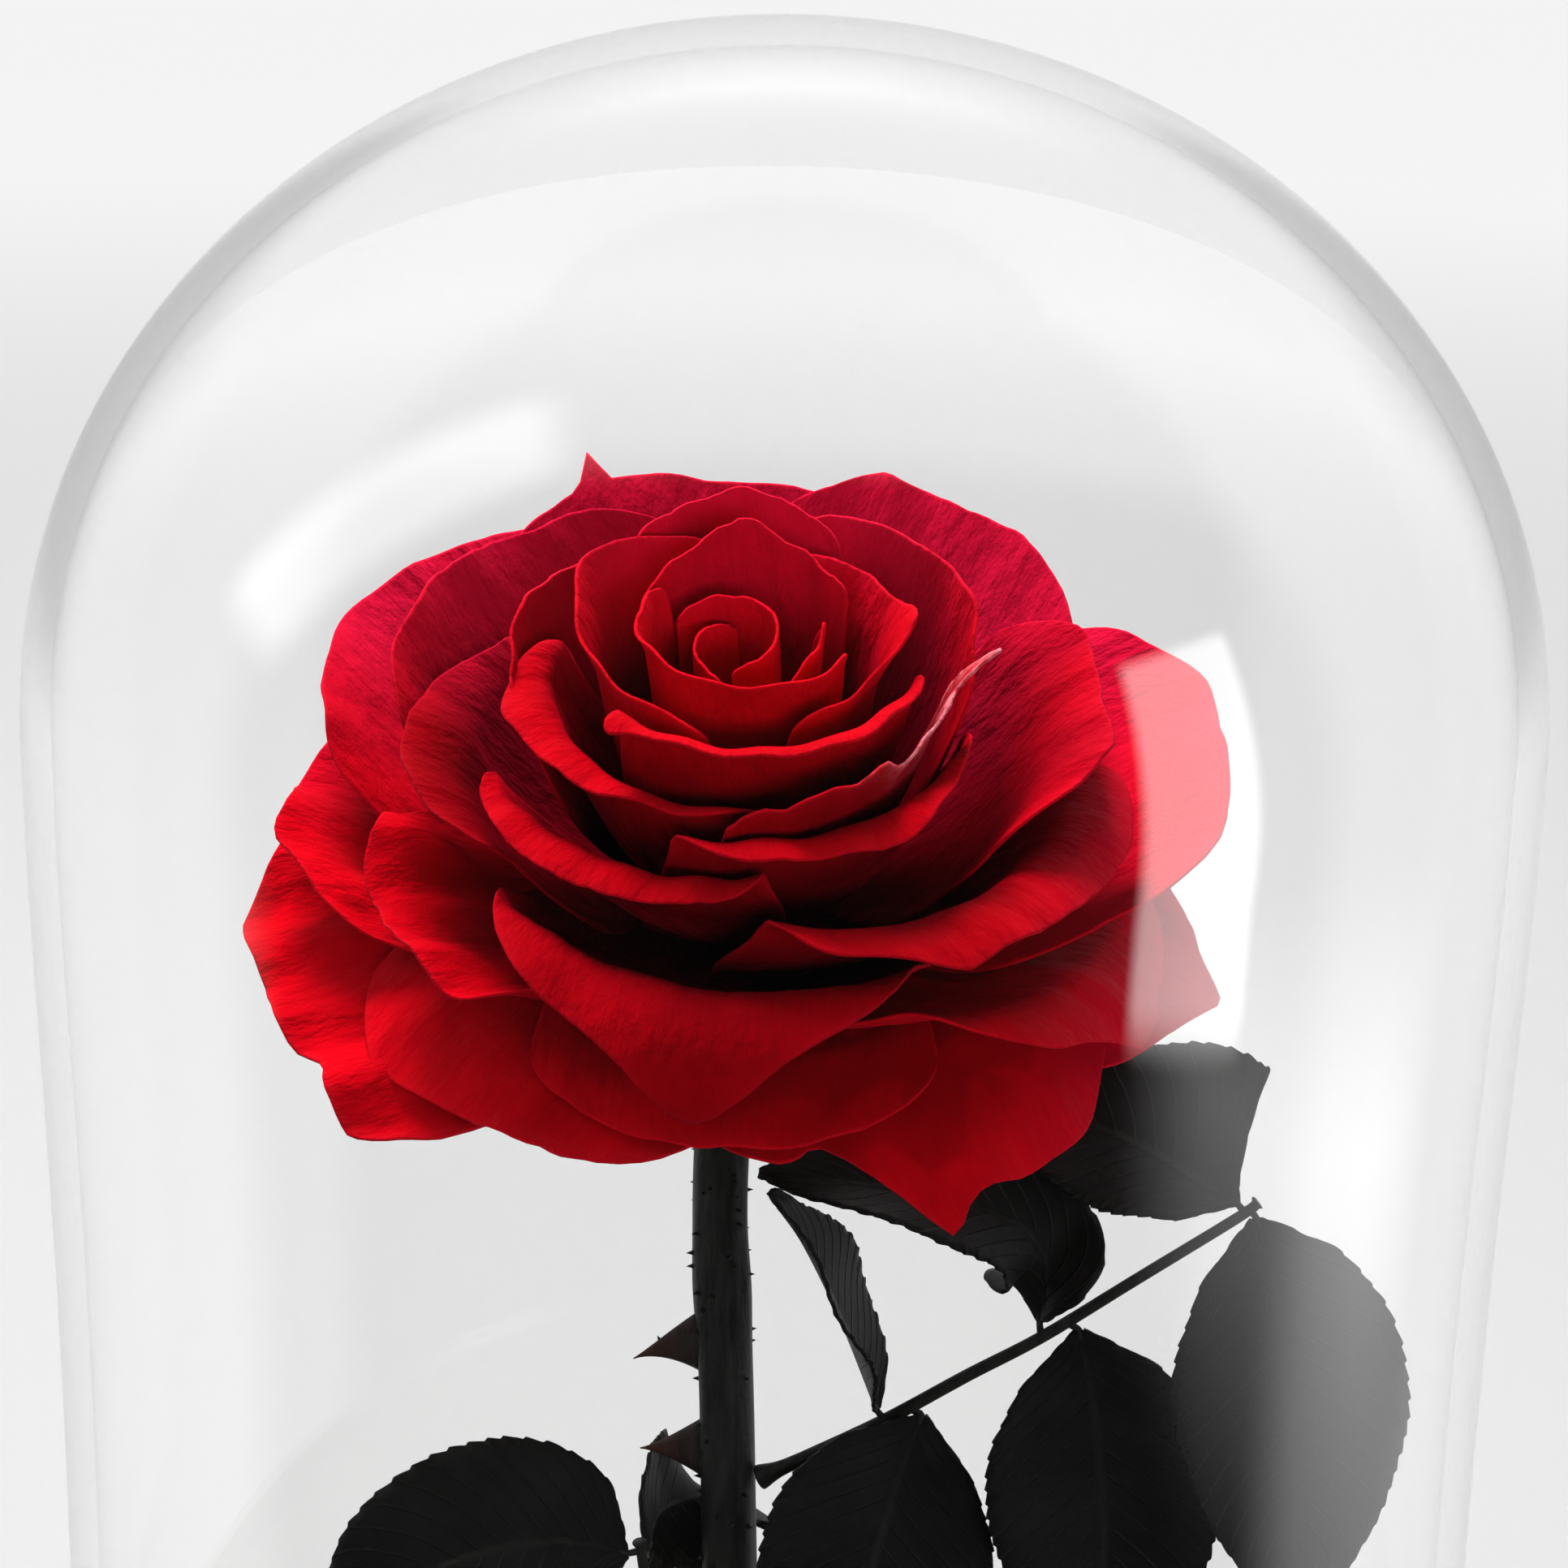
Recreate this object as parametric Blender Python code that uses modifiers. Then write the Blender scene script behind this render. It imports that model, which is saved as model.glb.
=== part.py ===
"""A preserved red rose on its thorny stem, standing in a turned wooden base under a round-headed glass dome.

The bloom is nested like a real rose: every petal lies on its own layer, from the rolled heart (layer 0) to the
drooping outer ring (layer 1). A layer is a curve that leaves the receptacle and bends outwards. Outer layers bend
further, so petals on different layers never meet. Petal and leaflet tables are in millimetres and degrees.
"""

import math
from dataclasses import dataclass

import bmesh
import bpy
from mathutils import Matrix, Vector

MM = 0.001
GAP = 0.3 * MM

# Turned base
BASE_RADIUS = 105 * MM
BASE_HEIGHT = 22 * MM
BASE_STEP_RADIUS = 97 * MM
BASE_STEP_DEPTH = 4.5 * MM
BASE_FOOT_INSET = 4 * MM
GROOVE_DEPTH = 5 * MM
GROOVE_PLAY = 0.9 * MM
BASE_SIDES = 36

# Blown glass dome: a cylinder that swells into a slightly flattened round head
DOME_HEAD_RADIUS = 90 * MM
DOME_WALL_RADIUS = 87.7 * MM
DOME_HEAD_RISE = 81 * MM
DOME_HEAD_HEIGHT = 212 * MM
DOME_SWELL_LENGTH = 55 * MM
GLASS_THICKNESS = 3.5 * MM
DOME_SIDES = 32
DOME_HEAD_STEPS = 6
DOME_WALL_STEPS = 4

# Stem
STEM_DIAMETER = 7.3 * MM
STEM_ROUTE = ((0, 0, 9), (-0.2, 0.1, 22), (-1.6, 0.9, 42), (-3.7, 2.5, 68), (-4.9, 4, 95), (-5.8, 6.8, 120),
              (-6.9, 9.8, 141), (-6.7, 12.5, 155), (-5.7, 13.2, 165), (-5.0, 10.05, 173.15))
STEM_HOLE_DEPTH = 13.3 * MM
STEM_HOLE_PLAY = 0.5 * MM
# Thorns: height of the root's middle, turn round the stem in degrees (180 is left), length, droop of the tip
THORNS = ((126, 184, 8.0, 2.5), (112, 178, 7.6, 0.5), (88, 60, 6.5, 1.5), (76, 250, 7.0, 1.5), (52, 150, 7.0, 1.5),
          (40, 330, 6.0, 1.0))

# Flower head: the middle of the ring of rims, and how far the head nods towards the front
HEAD_CENTRE = Vector((-5, -3, 200)) * MM
HEAD_NOD = math.radians(26)
PETAL_THICKNESS = 0.5 * MM
PETAL_ROOT_WIDTH = 3.0
WIDEST_AT = 0.75
CORNER_ROUNDNESS = 2.4
REACH = 64.0

# Each layer: its place from 0 to 1, root radius, root height, and the four control angles of its curve,
# measured from the flower's axis
LAYERS = (
    (0.00, 0.6, -11.5, (8, 4, 0, -4)),
    (0.25, 3.2, -12.8, (42, 8, -2, 12)),
    (0.45, 5.4, -14.2, (62, 24, 0, 30)),
    (0.60, 6.8, -15.2, (74, 46, 4, 46)),
    (0.75, 8.0, -16.4, (82, 64, 24, 70)),
    (0.88, 9.0, -17.6, (86, 74, 62, 110)),
    (1.00, 10.0, -18.6, (88, 80, 96, 170)),
)


@dataclass
class Petal:
    """turn: degrees round the axis, 0 right, 90 back, 180 left, 270 front. shoulder: share of the length that the
    corners lack. twist: change of layer from edge to edge. skew: extra length on the far edge. roll: degrees that
    the rim rolls outwards past roll_from. tips: (place across, height, spread) of points and notches in the rim."""

    name: str
    turn: float
    layer: float
    width: float
    length: float
    shoulder: float = 0.2
    twist: float = 0.0
    skew: float = 0.0
    roll: float = 0.0
    roll_from: float = 0.7
    wave: float = 0.0
    tips: tuple = ()
    grid: tuple = (5, 4)


PETALS = (
    Petal("petal_heart_inner", 190, 0.0, 10, 38, 0.10, grid=(8, 3)),
    Petal("petal_heart_outer", 30, 0.06, 19, 41, 0.10, grid=(8, 3)),
    Petal("petal_heart_small", 335, 0.11, 14, 40, 0.20, tips=((0.3, 2, 0.2),), grid=(4, 3)),
    Petal("petal_bud_front", 236, 0.152, 38, 41, 0.08, twist=0.02, roll=25, roll_from=0.9,
          tips=((-0.42, 3, 0.25),), grid=(9, 4)),
    Petal("petal_bud_back", 82, 0.195, 33, 43.5, 0.08, twist=-0.02, tips=((0, 4, 0.35),), grid=(6, 4)),
    Petal("petal_bud_left", 176, 0.26, 48, 44.5, 0.10, twist=-0.02, roll=20, roll_from=0.85,
          tips=((-0.3, 3, 0.35),), grid=(7, 4)),
    Petal("petal_bud_right", 4, 0.245, 40, 43, 0.08, twist=0.02, roll=20, roll_from=0.85,
          tips=((0.05, 5, 0.3),), grid=(6, 4)),
    Petal("petal_bud_lip", 281, 0.31, 43, 44, 0.04, twist=0.01, roll=60, roll_from=0.9,
          tips=((-0.9, 3, 0.2),), grid=(6, 5)),
    Petal("petal_inner_left", 160, 0.41, 32, 44.5, 0.12, twist=0.01, tips=((0.2, 1.5, 0.3),)),
    Petal("petal_inner_back", 95, 0.33, 28, 47.5, 0.14, tips=((-0.1, 1.5, 0.3),)),
    Petal("petal_inner_right", 36, 0.42, 43, 47.5, 0.17, tips=((-0.5, 1.5, 0.25),)),
    Petal("petal_inner_front_left", 213, 0.365, 50, 44.5, 0.20, roll=60, roll_from=0.86,
          tips=((-0.45, 1.5, 0.2), (0.45, -1.5, 0.2)), grid=(6, 5)),
    Petal("petal_torn", 311, 0.395, 36, 41, 0.08, twist=-0.025, roll=35, roll_from=0.86,
          tips=((0.9, 9, 0.16), (-0.1, 1, 0.2)), grid=(6, 5)),
    Petal("petal_inner_front_right", 308, 0.46, 46, 41.5, 0.20, skew=1.5, roll=60, roll_from=0.85,
          tips=((0.1, 2, 0.25),), grid=(6, 5)),
    Petal("petal_middle_front_left", 227, 0.50, 46, 41.5, 0.20, skew=-1.5, roll=80, roll_from=0.86, grid=(6, 5)),
    Petal("petal_middle_left", 175, 0.57, 49, 46.5, 0.25, roll=30, roll_from=0.8, tips=((0.3, 1.5, 0.3),)),
    Petal("petal_middle_back_left", 140, 0.645, 54, 50.5, 0.20, tips=((-0.3, -1.5, 0.3),)),
    Petal("petal_middle_back", 101, 0.725, 52, 53.5, 0.20, twist=-0.015, tips=((0.42, 5, 0.05), (-0.3, -2, 0.3)), grid=(6, 5)),
    Petal("petal_middle_back_right", 52, 0.685, 52, 52.5, 0.20, twist=-0.015, tips=((0.5, 2, 0.2), (-0.4, 1, 0.2))),
    Petal("petal_middle_right", 8, 0.635, 42, 48, 0.30, roll=30, roll_from=0.8,
          tips=((0.5, 4, 0.2), (-0.2, 2, 0.25))),
    Petal("petal_middle_front_right", 318, 0.585, 56, 43.5, 0.25, skew=3, roll=70, roll_from=0.8,
          tips=((-0.55, 2, 0.15), (0.1, 2, 0.2)), grid=(6, 5)),
    Petal("petal_front_tongue", 264, 0.66, 52, 53, 0.40, roll=140, roll_from=0.72, tips=((0, 6, 0.25),),
          grid=(6, 6)),
    Petal("petal_crumpled_left", 211, 0.72, 40, 44.5, 0.30, roll=30, roll_from=0.7, tips=((-0.2, -2, 0.2),)),
    Petal("petal_outer_back_left", 143, 0.77, 62, 54.5, 0.20, wave=1.0, tips=((-0.4, 2, 0.2), (0.3, 1, 0.2))),
    Petal("petal_outer_right", 12, 0.80, 52, 54, 0.25, wave=1.5, tips=((0.35, 2, 0.2),)),
    Petal("petal_outer_front_right", 323, 0.74, 56, 45, 0.25, skew=4, roll=60, roll_from=0.75,
          tips=((-0.5, 2, 0.25),)),
    Petal("petal_outer_left", 170, 0.84, 48, 49.5, 0.30, tips=((0.5, 2, 0.2),)),
    Petal("petal_drooping_left", 194, 0.89, 52, 51.5, 0.25, twist=-0.02, tips=((-0.3, 2, 0.25), (0.6, 2.5, 0.15))),
    Petal("petal_drooping_front_left", 234, 0.94, 55, 41, 0.20, twist=-0.02, roll=30, roll_from=0.6,
          tips=((-0.3, 2, 0.2), (0.3, 1, 0.2))),
    Petal("petal_drooping_front", 270, 0.83, 50, 38, 0.20, roll=30, roll_from=0.6),
    Petal("petal_drooping_point", 310, 0.88, 58, 44, 0.35, roll=40, roll_from=0.6,
          tips=((-0.3, 9, 0.22), (0.3, 2, 0.3)), grid=(6, 5)),
    Petal("petal_drooping_right", 348, 0.94, 48, 49, 0.35, twist=-0.02, tips=((0.1, 5, 0.25),)),
    Petal("petal_hidden_back_right", 70, 0.86, 60, 52, 0.30),
    Petal("petal_hidden_back_left", 115, 0.945, 54, 50, 0.30),
    Petal("petal_hidden_right", 32, 0.995, 52, 50, 0.30, twist=-0.01),
)

# Receptacle under the petals, as (radius, height) in the head's frame, and its five sepals
RECEPTACLE = ((3.4, -29.5), (4.6, -29.0), (7.4, -27.0), (9.6, -24.2), (10.8, -21.2), (10.8, -20.0), (9.7, -18.9),
              (8.1, -17.1), (5.6, -14.9), (3.3, -13.5), (0, -12.3))
RECEPTACLE_SIDES = 14
SEPAL_TURNS = (20, 92, 164, 236, 308)
SEPAL_WIDTH = 7.5
SEPAL_THICKNESS = 0.9 * MM
# Middle line of a sepal in the head's frame, as (distance from the axis, height)
SEPAL_LINE = ((8.5, -22.5), (13.5, -24.0), (15.5, -33.0), (14.0, -46.0))

LEAF_STALK_DIAMETER = 1.9 * MM
LEAF_STALKS = {
    "leaf_stalk_right": ((-1.15, 4.15, 108.6), (5.4, 3, 112.5), (14.6, 2, 118), (24.7, 0.2, 125.2), (34.1, -1, 131.4),
                         (45.4, -2, 139.8), (57.5, -3, 148.7), (60.0, -3, 150.8)),
    "leaf_stalk_left": ((-7.85, 1.0, 63.7), (-10.2, -0.2, 72), (-13.0, -1.5, 85), (-15.2, -2, 95), (-16.4, -2.2, 102.5)),
}
LEAFLET_THICKNESS = 0.5 * MM


@dataclass
class Leaflet:
    """path: the midrib from stalk to tip. face: where its upper side looks. fold: degrees that each half rises."""

    name: str
    path: tuple
    width: float
    face: tuple
    fold: float = 12.0


LEAFLETS = (
    Leaflet("leaflet_right_1_down", ((19.3, 1.0, 119.3), (16, -1, 108), (13, -4, 92), (10, -6, 74)), 26, (0, -1, 0.1)),
    Leaflet("leaflet_right_2_down", ((38.6, -1.9, 132.7), (41, -3.5, 121), (42.5, -5.5, 103), (42, -7.5, 83)), 30,
            (0, -1, 0.15)),
    Leaflet("leaflet_right_3_down", ((59.8, -4.0, 149.0), (63, -7.5, 135), (65, -11, 117), (66, -14, 98)), 31,
            (0.15, -1, 0.15)),
    Leaflet("leaflet_right_1_up", ((13.6, 1.9, 119.4), (9.1, -1, 132), (4.2, -6, 144), (1.0, -12, 153)), 18,
            (0.9, 0.15, 0.35), 20),
    Leaflet("leaflet_right_2_up", ((33.7, -0.6, 133.0), (33.6, -0.5, 142.5), (25, 1, 148.5), (4, 3, 151)), 21,
            (-0.25, -0.35, 0.9), 14),
    Leaflet("leaflet_right_3_up", ((57.5, -2.6, 150.3), (53, 0.5, 155), (44, 6, 157), (22, 15, 160)), 25,
            (0.1, -0.6, 0.8)),
    Leaflet("leaflet_left_1_out", ((-17.8, -2.8, 101), (-28, -6, 104), (-42, -11, 102), (-57, -15, 92)), 28,
            (0, -0.85, 0.5)),
    Leaflet("leaflet_left_1_back", ((-15.2, -0.9, 100.8), (-13.6, 9.5, 101), (-5, 17, 99), (6, 20, 90)), 19,
            (-1, -0.6, 0)),
    Leaflet("leaflet_left_2_out", ((-14.4, -1.6, 86.6), (-26, -6, 86), (-38, -12, 78), (-48, -16, 66)), 26,
            (-0.2, -0.8, 0.6)),
    Leaflet("leaflet_left_2_front", ((-12.1, -2.9, 85.4), (-9, -13, 83), (-3, -22, 75), (3, -29, 63)), 25,
            (-0.1, -0.6, 0.8)),
)
LEAFLET_ROWS = 6
LEAFLET_COLUMNS = 4


def clear_scene():
    for old in list(bpy.data.objects):
        bpy.data.objects.remove(old)


def new_collection(name):
    collection = bpy.data.collections.new(name)
    bpy.context.scene.collection.children.link(collection)
    return collection


def plain_material(name, colour, roughness, transmission=0.0):
    material = bpy.data.materials.new(name)
    material.use_nodes = True
    shader = material.node_tree.nodes["Principled BSDF"]
    shader.inputs["Base Color"].default_value = (*colour, 1)
    shader.inputs["Roughness"].default_value = roughness
    shader.inputs["Transmission Weight"].default_value = transmission
    return material


def add_object(name, mesh, collection, material=None, parent=None):
    obj = bpy.data.objects.new(name, mesh)
    collection.objects.link(obj)
    obj.parent = parent
    if material is not None:
        mesh.materials.append(material)
    return obj


def hide_helper(obj):
    obj.hide_render = True
    obj.display_type = "WIRE"


# Turned pieces


def turned(name, profile, sides, collection, material, parent=None):
    """A solid of revolution. The profile runs down its outer side."""
    mesh = bpy.data.meshes.new(name)
    edges = [(index, index + 1) for index in range(len(profile) - 1)]
    mesh.from_pydata([(radius, 0, height) for radius, height in profile], edges, [])
    obj = add_object(name, mesh, collection, material, parent)
    screw = obj.modifiers.new("turn", "SCREW")
    screw.axis = "Z"
    screw.steps = screw.render_steps = sides
    screw.use_merge_vertices = True
    screw.merge_threshold = 0.00001
    return obj


def dome_radius(height, shrink=0.0):
    """Radius of the glass at a height on its cylinder; shrink is how far inside the outer face."""
    drop = (height - DOME_HEAD_HEIGHT) / DOME_SWELL_LENGTH
    swell = (DOME_HEAD_RADIUS - DOME_WALL_RADIUS) * math.exp(-drop * drop)
    return DOME_WALL_RADIUS + swell - shrink


def dome_face(shrink):
    """Points of one face of the dome from its crown down to its rim."""
    foot = BASE_HEIGHT - GROOVE_DEPTH + GAP
    points = []
    for step in range(DOME_HEAD_STEPS):
        angle = math.pi / 2 * (1 - step / DOME_HEAD_STEPS)
        radius = (DOME_HEAD_RADIUS - shrink) * math.cos(angle)
        points.append((radius, DOME_HEAD_HEIGHT + (DOME_HEAD_RISE - shrink) * math.sin(angle)))
    points[0] = (0, points[0][1])
    for step in range(DOME_WALL_STEPS + 1):
        height = DOME_HEAD_HEIGHT + (foot - DOME_HEAD_HEIGHT) * (step / DOME_WALL_STEPS) ** 1.3
        points.append((dome_radius(height, shrink), height))
    return points


def make_dome(collection, material):
    profile = dome_face(0) + dome_face(GLASS_THICKNESS)[::-1]
    return turned("glass_dome", profile, DOME_SIDES, collection, material)


def make_base(collection, material):
    """A low plate: flat top with the groove for the glass, a stepped edge, and a slightly drawn-in foot."""
    hole = STEM_DIAMETER / 2 + STEM_HOLE_PLAY
    rim = dome_radius(BASE_HEIGHT)
    groove_in = rim - GLASS_THICKNESS - GROOVE_PLAY
    groove_out = rim + GROOVE_PLAY
    top = BASE_HEIGHT
    shelf = top - BASE_STEP_DEPTH
    profile = [(0, top - STEM_HOLE_DEPTH), (hole, top - STEM_HOLE_DEPTH), (hole, top),
               (groove_in, top), (groove_in, top - GROOVE_DEPTH), (groove_out, top - GROOVE_DEPTH), (groove_out, top),
               (BASE_STEP_RADIUS, top), (BASE_STEP_RADIUS + 1.5 * MM, shelf)]
    middle = shelf / 2
    for step in range(5):
        angle = math.radians(75 - 37.5 * step)
        bulge = (BASE_RADIUS - BASE_STEP_RADIUS - 1.5 * MM) * math.cos(angle)
        profile.append((BASE_STEP_RADIUS + 1.5 * MM + bulge, middle + middle * 0.9 * math.sin(angle)))
    profile += [(BASE_RADIUS - BASE_FOOT_INSET, 0), (0, 0)]
    return turned("base", profile, BASE_SIDES, collection, material)


# Stem and stalks


def along(points, share):
    """The point a share of the way along a smooth curve through the given points."""
    spans = len(points) - 1
    place = min(share, 0.999999) * spans
    index = int(place)
    local = place - index
    before = points[max(index - 1, 0)]
    start, end = points[index], points[index + 1]
    after = points[min(index + 2, spans)]
    bend = 2 * start + (end - before) * local
    bend += (2 * before - 5 * start + 4 * end - after) * local**2
    bend += (3 * start - before - 3 * end + after) * local**3
    return bend / 2


def tube(name, route, diameter, points, collection, material):
    """A round stalk through the route's points, as a mesh with closed ends."""
    curve = bpy.data.curves.new(name, "CURVE")
    curve.dimensions = "3D"
    curve.bevel_depth = diameter / 2
    curve.bevel_resolution = 2
    curve.use_fill_caps = True
    spline = curve.splines.new("POLY")
    spline.points.add(points - 1)
    route = [Vector(point) * MM for point in route]
    for index, point in enumerate(spline.points):
        point.co = (*along(route, index / (points - 1)), 1)
    guide = bpy.data.objects.new(name + "_guide", curve)
    collection.objects.link(guide)
    graph = bpy.context.evaluated_depsgraph_get()
    mesh = bpy.data.meshes.new_from_object(guide.evaluated_get(graph))
    bpy.data.objects.remove(guide)
    body = bmesh.new()
    body.from_mesh(mesh)
    bmesh.ops.remove_doubles(body, verts=body.verts, dist=0.00001)
    bmesh.ops.recalc_face_normals(body, faces=body.faces)
    body.to_mesh(mesh)
    body.free()
    mesh.materials.clear()
    mesh.name = name
    return add_object(name, mesh, collection, material)


def make_thorn(name, height, turn, length, droop, collection):
    """A hooked thorn: tall and thin at its root, with a drooping tip."""
    route = [Vector(point) * MM for point in STEM_ROUTE]
    share = min((step / 200 for step in range(201)), key=lambda s: abs(along(route, s).z - height * MM))
    root = along(route, share)
    body = bmesh.new()
    bmesh.ops.create_cone(body, segments=6, radius1=1, radius2=0.06, depth=1, cap_ends=True, cap_tris=True)
    for vert in body.verts:
        out = vert.co.z + 0.5
        tall = 4.6 * (1 - 0.25 * out)
        vert.co = Vector((STEM_DIAMETER / 2 / MM - 1.6 + out * (length + 1.6), 1.3 * vert.co.x,
                          tall * vert.co.y - droop * out * out)) * MM
    mesh = bpy.data.meshes.new(name)
    body.to_mesh(mesh)
    body.free()
    thorn = add_object(name, mesh, collection)
    thorn.matrix_world = Matrix.Translation(root) @ Matrix.Rotation(math.radians(turn), 4, "Z")
    hide_helper(thorn)
    return thorn


def join(obj, helper, name):
    union = obj.modifiers.new(name, "BOOLEAN")
    union.operation = "UNION"
    union.object = helper


def make_stem(collection, helpers, material):
    stem = tube("stem", STEM_ROUTE, STEM_DIAMETER, 19, collection, material)
    for number, (height, turn, length, droop) in enumerate(THORNS, 1):
        join(stem, make_thorn(f"thorn_{number}", height, turn, length, droop, helpers), f"thorn {number}")
    return stem


# Petals


def layer_value(layer, pick):
    """A value of the layer table at a place between its rows."""
    for low, high in zip(LAYERS, LAYERS[1:]):
        if layer <= high[0]:
            share = (layer - low[0]) / (high[0] - low[0])
            return pick(low) * (1 - share) + pick(high) * share
    return pick(LAYERS[-1])


def layer_angle(layer, distance):
    """Direction of a layer's curve, from the flower's axis, at a distance along it."""
    x = min(distance / REACH, 1.1)
    angle = 0
    for k in range(4):
        weight = math.comb(3, k) * x**k * (1 - x) ** (3 - k)
        angle += weight * layer_value(layer, lambda row, k=k: row[3][k])
    return math.radians(angle)


def follow(layer, start, end, extra=lambda distance: 0.0, steps=16):
    """How far out and up a layer's curve goes between two distances along it."""
    out = up = 0.0
    span = (end - start) / steps
    for step in range(steps):
        distance = start + span * (step + 0.5)
        angle = layer_angle(layer, distance) + extra(distance)
        out += math.sin(angle) * span
        up += math.cos(angle) * span
    return out, up


def layer_place(layer, distance):
    out, up = follow(layer, 0, distance)
    return layer_value(layer, lambda row: row[1]) + out, layer_value(layer, lambda row: row[2]) + up


def petal_point(petal, u, v):
    """The point at u from root to rim and v from edge to edge (-1 to 1), in the head's frame, in millimetres."""
    corner = max(1 - abs(v) ** CORNER_ROUNDNESS, 0) ** (1 / CORNER_ROUNDNESS)
    claw = PETAL_ROOT_WIDTH / petal.width
    spread = claw + (1 - claw) * math.sin(math.pi / 2 * min(u / WIDEST_AT, 1)) ** 1.2
    distance = petal.length * u * (1 - petal.shoulder + petal.shoulder * corner) + petal.skew * v * u * u
    for place, height, width in petal.tips:
        distance += height * u**2.5 * math.exp(-((abs(v - place) / width) ** 1.6))
    distance = min(max(distance, 0), REACH)
    layer = min(petal.layer + petal.twist * v * min(1.5 * u, 1), 1)
    middle_radius = max(layer_place(petal.layer, distance)[0], 2)
    turn = math.radians(petal.turn) + petal.width / 2 * v * spread / middle_radius
    roll_start = petal.length * petal.roll_from
    roll_span = petal.length - roll_start
    straight = min(distance, roll_start)
    radius, height = layer_place(layer, straight)

    def rolled(place):
        return math.radians(petal.roll) * min(max((place - roll_start) / roll_span, 0), 2) ** 1.3

    out, up = follow(layer, straight, distance, rolled)
    angle = layer_angle(layer, distance)
    ripple = petal.wave * math.sin(2 * math.pi * v) * u**2.5
    radius += out + ripple * math.cos(angle)
    height += up - ripple * math.sin(angle)
    return Vector((radius * math.cos(turn), radius * math.sin(turn), height))


def make_petal(petal, collection, material, head):
    columns, rows = petal.grid
    body = bmesh.new()
    bmesh.ops.create_grid(body, x_segments=columns, y_segments=rows, size=1)
    for vert in body.verts:
        v = 0.6 * math.sin(math.pi / 2 * vert.co.x) + 0.4 * vert.co.x
        vert.co = petal_point(petal, (vert.co.y + 1) / 2, v) * MM
    mesh = bpy.data.meshes.new(petal.name)
    body.to_mesh(mesh)
    body.free()
    mesh.shade_smooth()
    obj = add_object(petal.name, mesh, collection, material, head)
    wall = obj.modifiers.new("thickness", "SOLIDIFY")
    wall.thickness = PETAL_THICKNESS
    wall.offset = 0
    return obj


# Receptacle with sepals


def make_sepal(name, turn, collection, head):
    line = [Vector((radius, 0, height)) for radius, height in SEPAL_LINE]
    body = bmesh.new()
    bmesh.ops.create_grid(body, x_segments=2, y_segments=4, size=1)
    for vert in body.verts:
        share = (vert.co.y + 1) / 2
        width = SEPAL_WIDTH / 2 * (1 - share) ** 0.7 + 0.4
        vert.co = (along(line, share) + Vector((0, width * vert.co.x, -0.8 * abs(vert.co.x)))) * MM
    mesh = bpy.data.meshes.new(name)
    body.to_mesh(mesh)
    body.free()
    sepal = add_object(name, mesh, collection, parent=head)
    sepal.rotation_euler.z = math.radians(turn)
    wall = sepal.modifiers.new("thickness", "SOLIDIFY")
    wall.thickness = SEPAL_THICKNESS
    wall.offset = 0
    hide_helper(sepal)
    return sepal


def make_receptacle(collection, helpers, material, head):
    profile = [(radius * MM, height * MM) for radius, height in reversed(RECEPTACLE)]
    profile.append((0, profile[-1][1]))
    receptacle = turned("calyx", profile, RECEPTACLE_SIDES, collection, material, head)
    for number, turn in enumerate(SEPAL_TURNS, 1):
        join(receptacle, make_sepal(f"sepal_{number}", turn, helpers, head), f"sepal {number}")
    return receptacle


# Leaflets


def leaflet_half_width(share):
    """Outline of an egg-shaped leaflet as a share of half its width, from stalk to tip."""
    return math.sin(math.pi * share**0.85) ** 0.75 * (1 - 0.15 * share) if 0 < share < 1 else 0.0


def make_leaflet(leaflet, collection, material):
    path = [Vector(point) for point in leaflet.path]
    face = Vector(leaflet.face)
    fold = math.radians(leaflet.fold)
    body = bmesh.new()
    bmesh.ops.create_grid(body, x_segments=LEAFLET_COLUMNS, y_segments=LEAFLET_ROWS, size=1)
    for vert in body.verts:
        share = (vert.co.y + 1) / 2
        tangent = (along(path, min(share + 0.02, 1)) - along(path, max(share - 0.02, 0))).normalized()
        up = (face - face.dot(tangent) * tangent).normalized()
        side = tangent.cross(up)
        out = (leaflet.width / 2 * leaflet_half_width(share) + 0.5) * vert.co.x
        vert.co = (along(path, share) + side * out * math.cos(fold) + up * abs(out) * math.sin(fold)) * MM
    mesh = bpy.data.meshes.new(leaflet.name)
    body.to_mesh(mesh)
    body.free()
    mesh.shade_smooth()
    obj = add_object(leaflet.name, mesh, collection, material)
    wall = obj.modifiers.new("thickness", "SOLIDIFY")
    wall.thickness = LEAFLET_THICKNESS
    wall.offset = 0
    return obj


def main():
    clear_scene()
    parts = new_collection("preserved_rose_in_glass_dome")
    helpers = new_collection("helpers")
    wood = plain_material("stained wood", (0.03, 0.018, 0.012), 0.4)
    glass = plain_material("clear glass", (1, 1, 1), 0.0, 1.0)
    red = plain_material("red petal", (0.45, 0.005, 0.02), 0.6)
    green = plain_material("dark leaf", (0.03, 0.035, 0.03), 0.6)
    bark = plain_material("dark stem", (0.02, 0.022, 0.018), 0.5)

    head = bpy.data.objects.new("flower_head", None)
    parts.objects.link(head)
    head.location = HEAD_CENTRE
    head.rotation_euler.x = HEAD_NOD

    make_base(parts, wood)
    make_dome(parts, glass)
    make_stem(parts, helpers, bark)
    make_receptacle(parts, helpers, green, head)
    for petal in PETALS:
        make_petal(petal, parts, red, head)
    for name, route in LEAF_STALKS.items():
        tube(name, route, LEAF_STALK_DIAMETER, 10, parts, bark)
    for leaflet in LEAFLETS:
        make_leaflet(leaflet, parts, green)


main()
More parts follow.
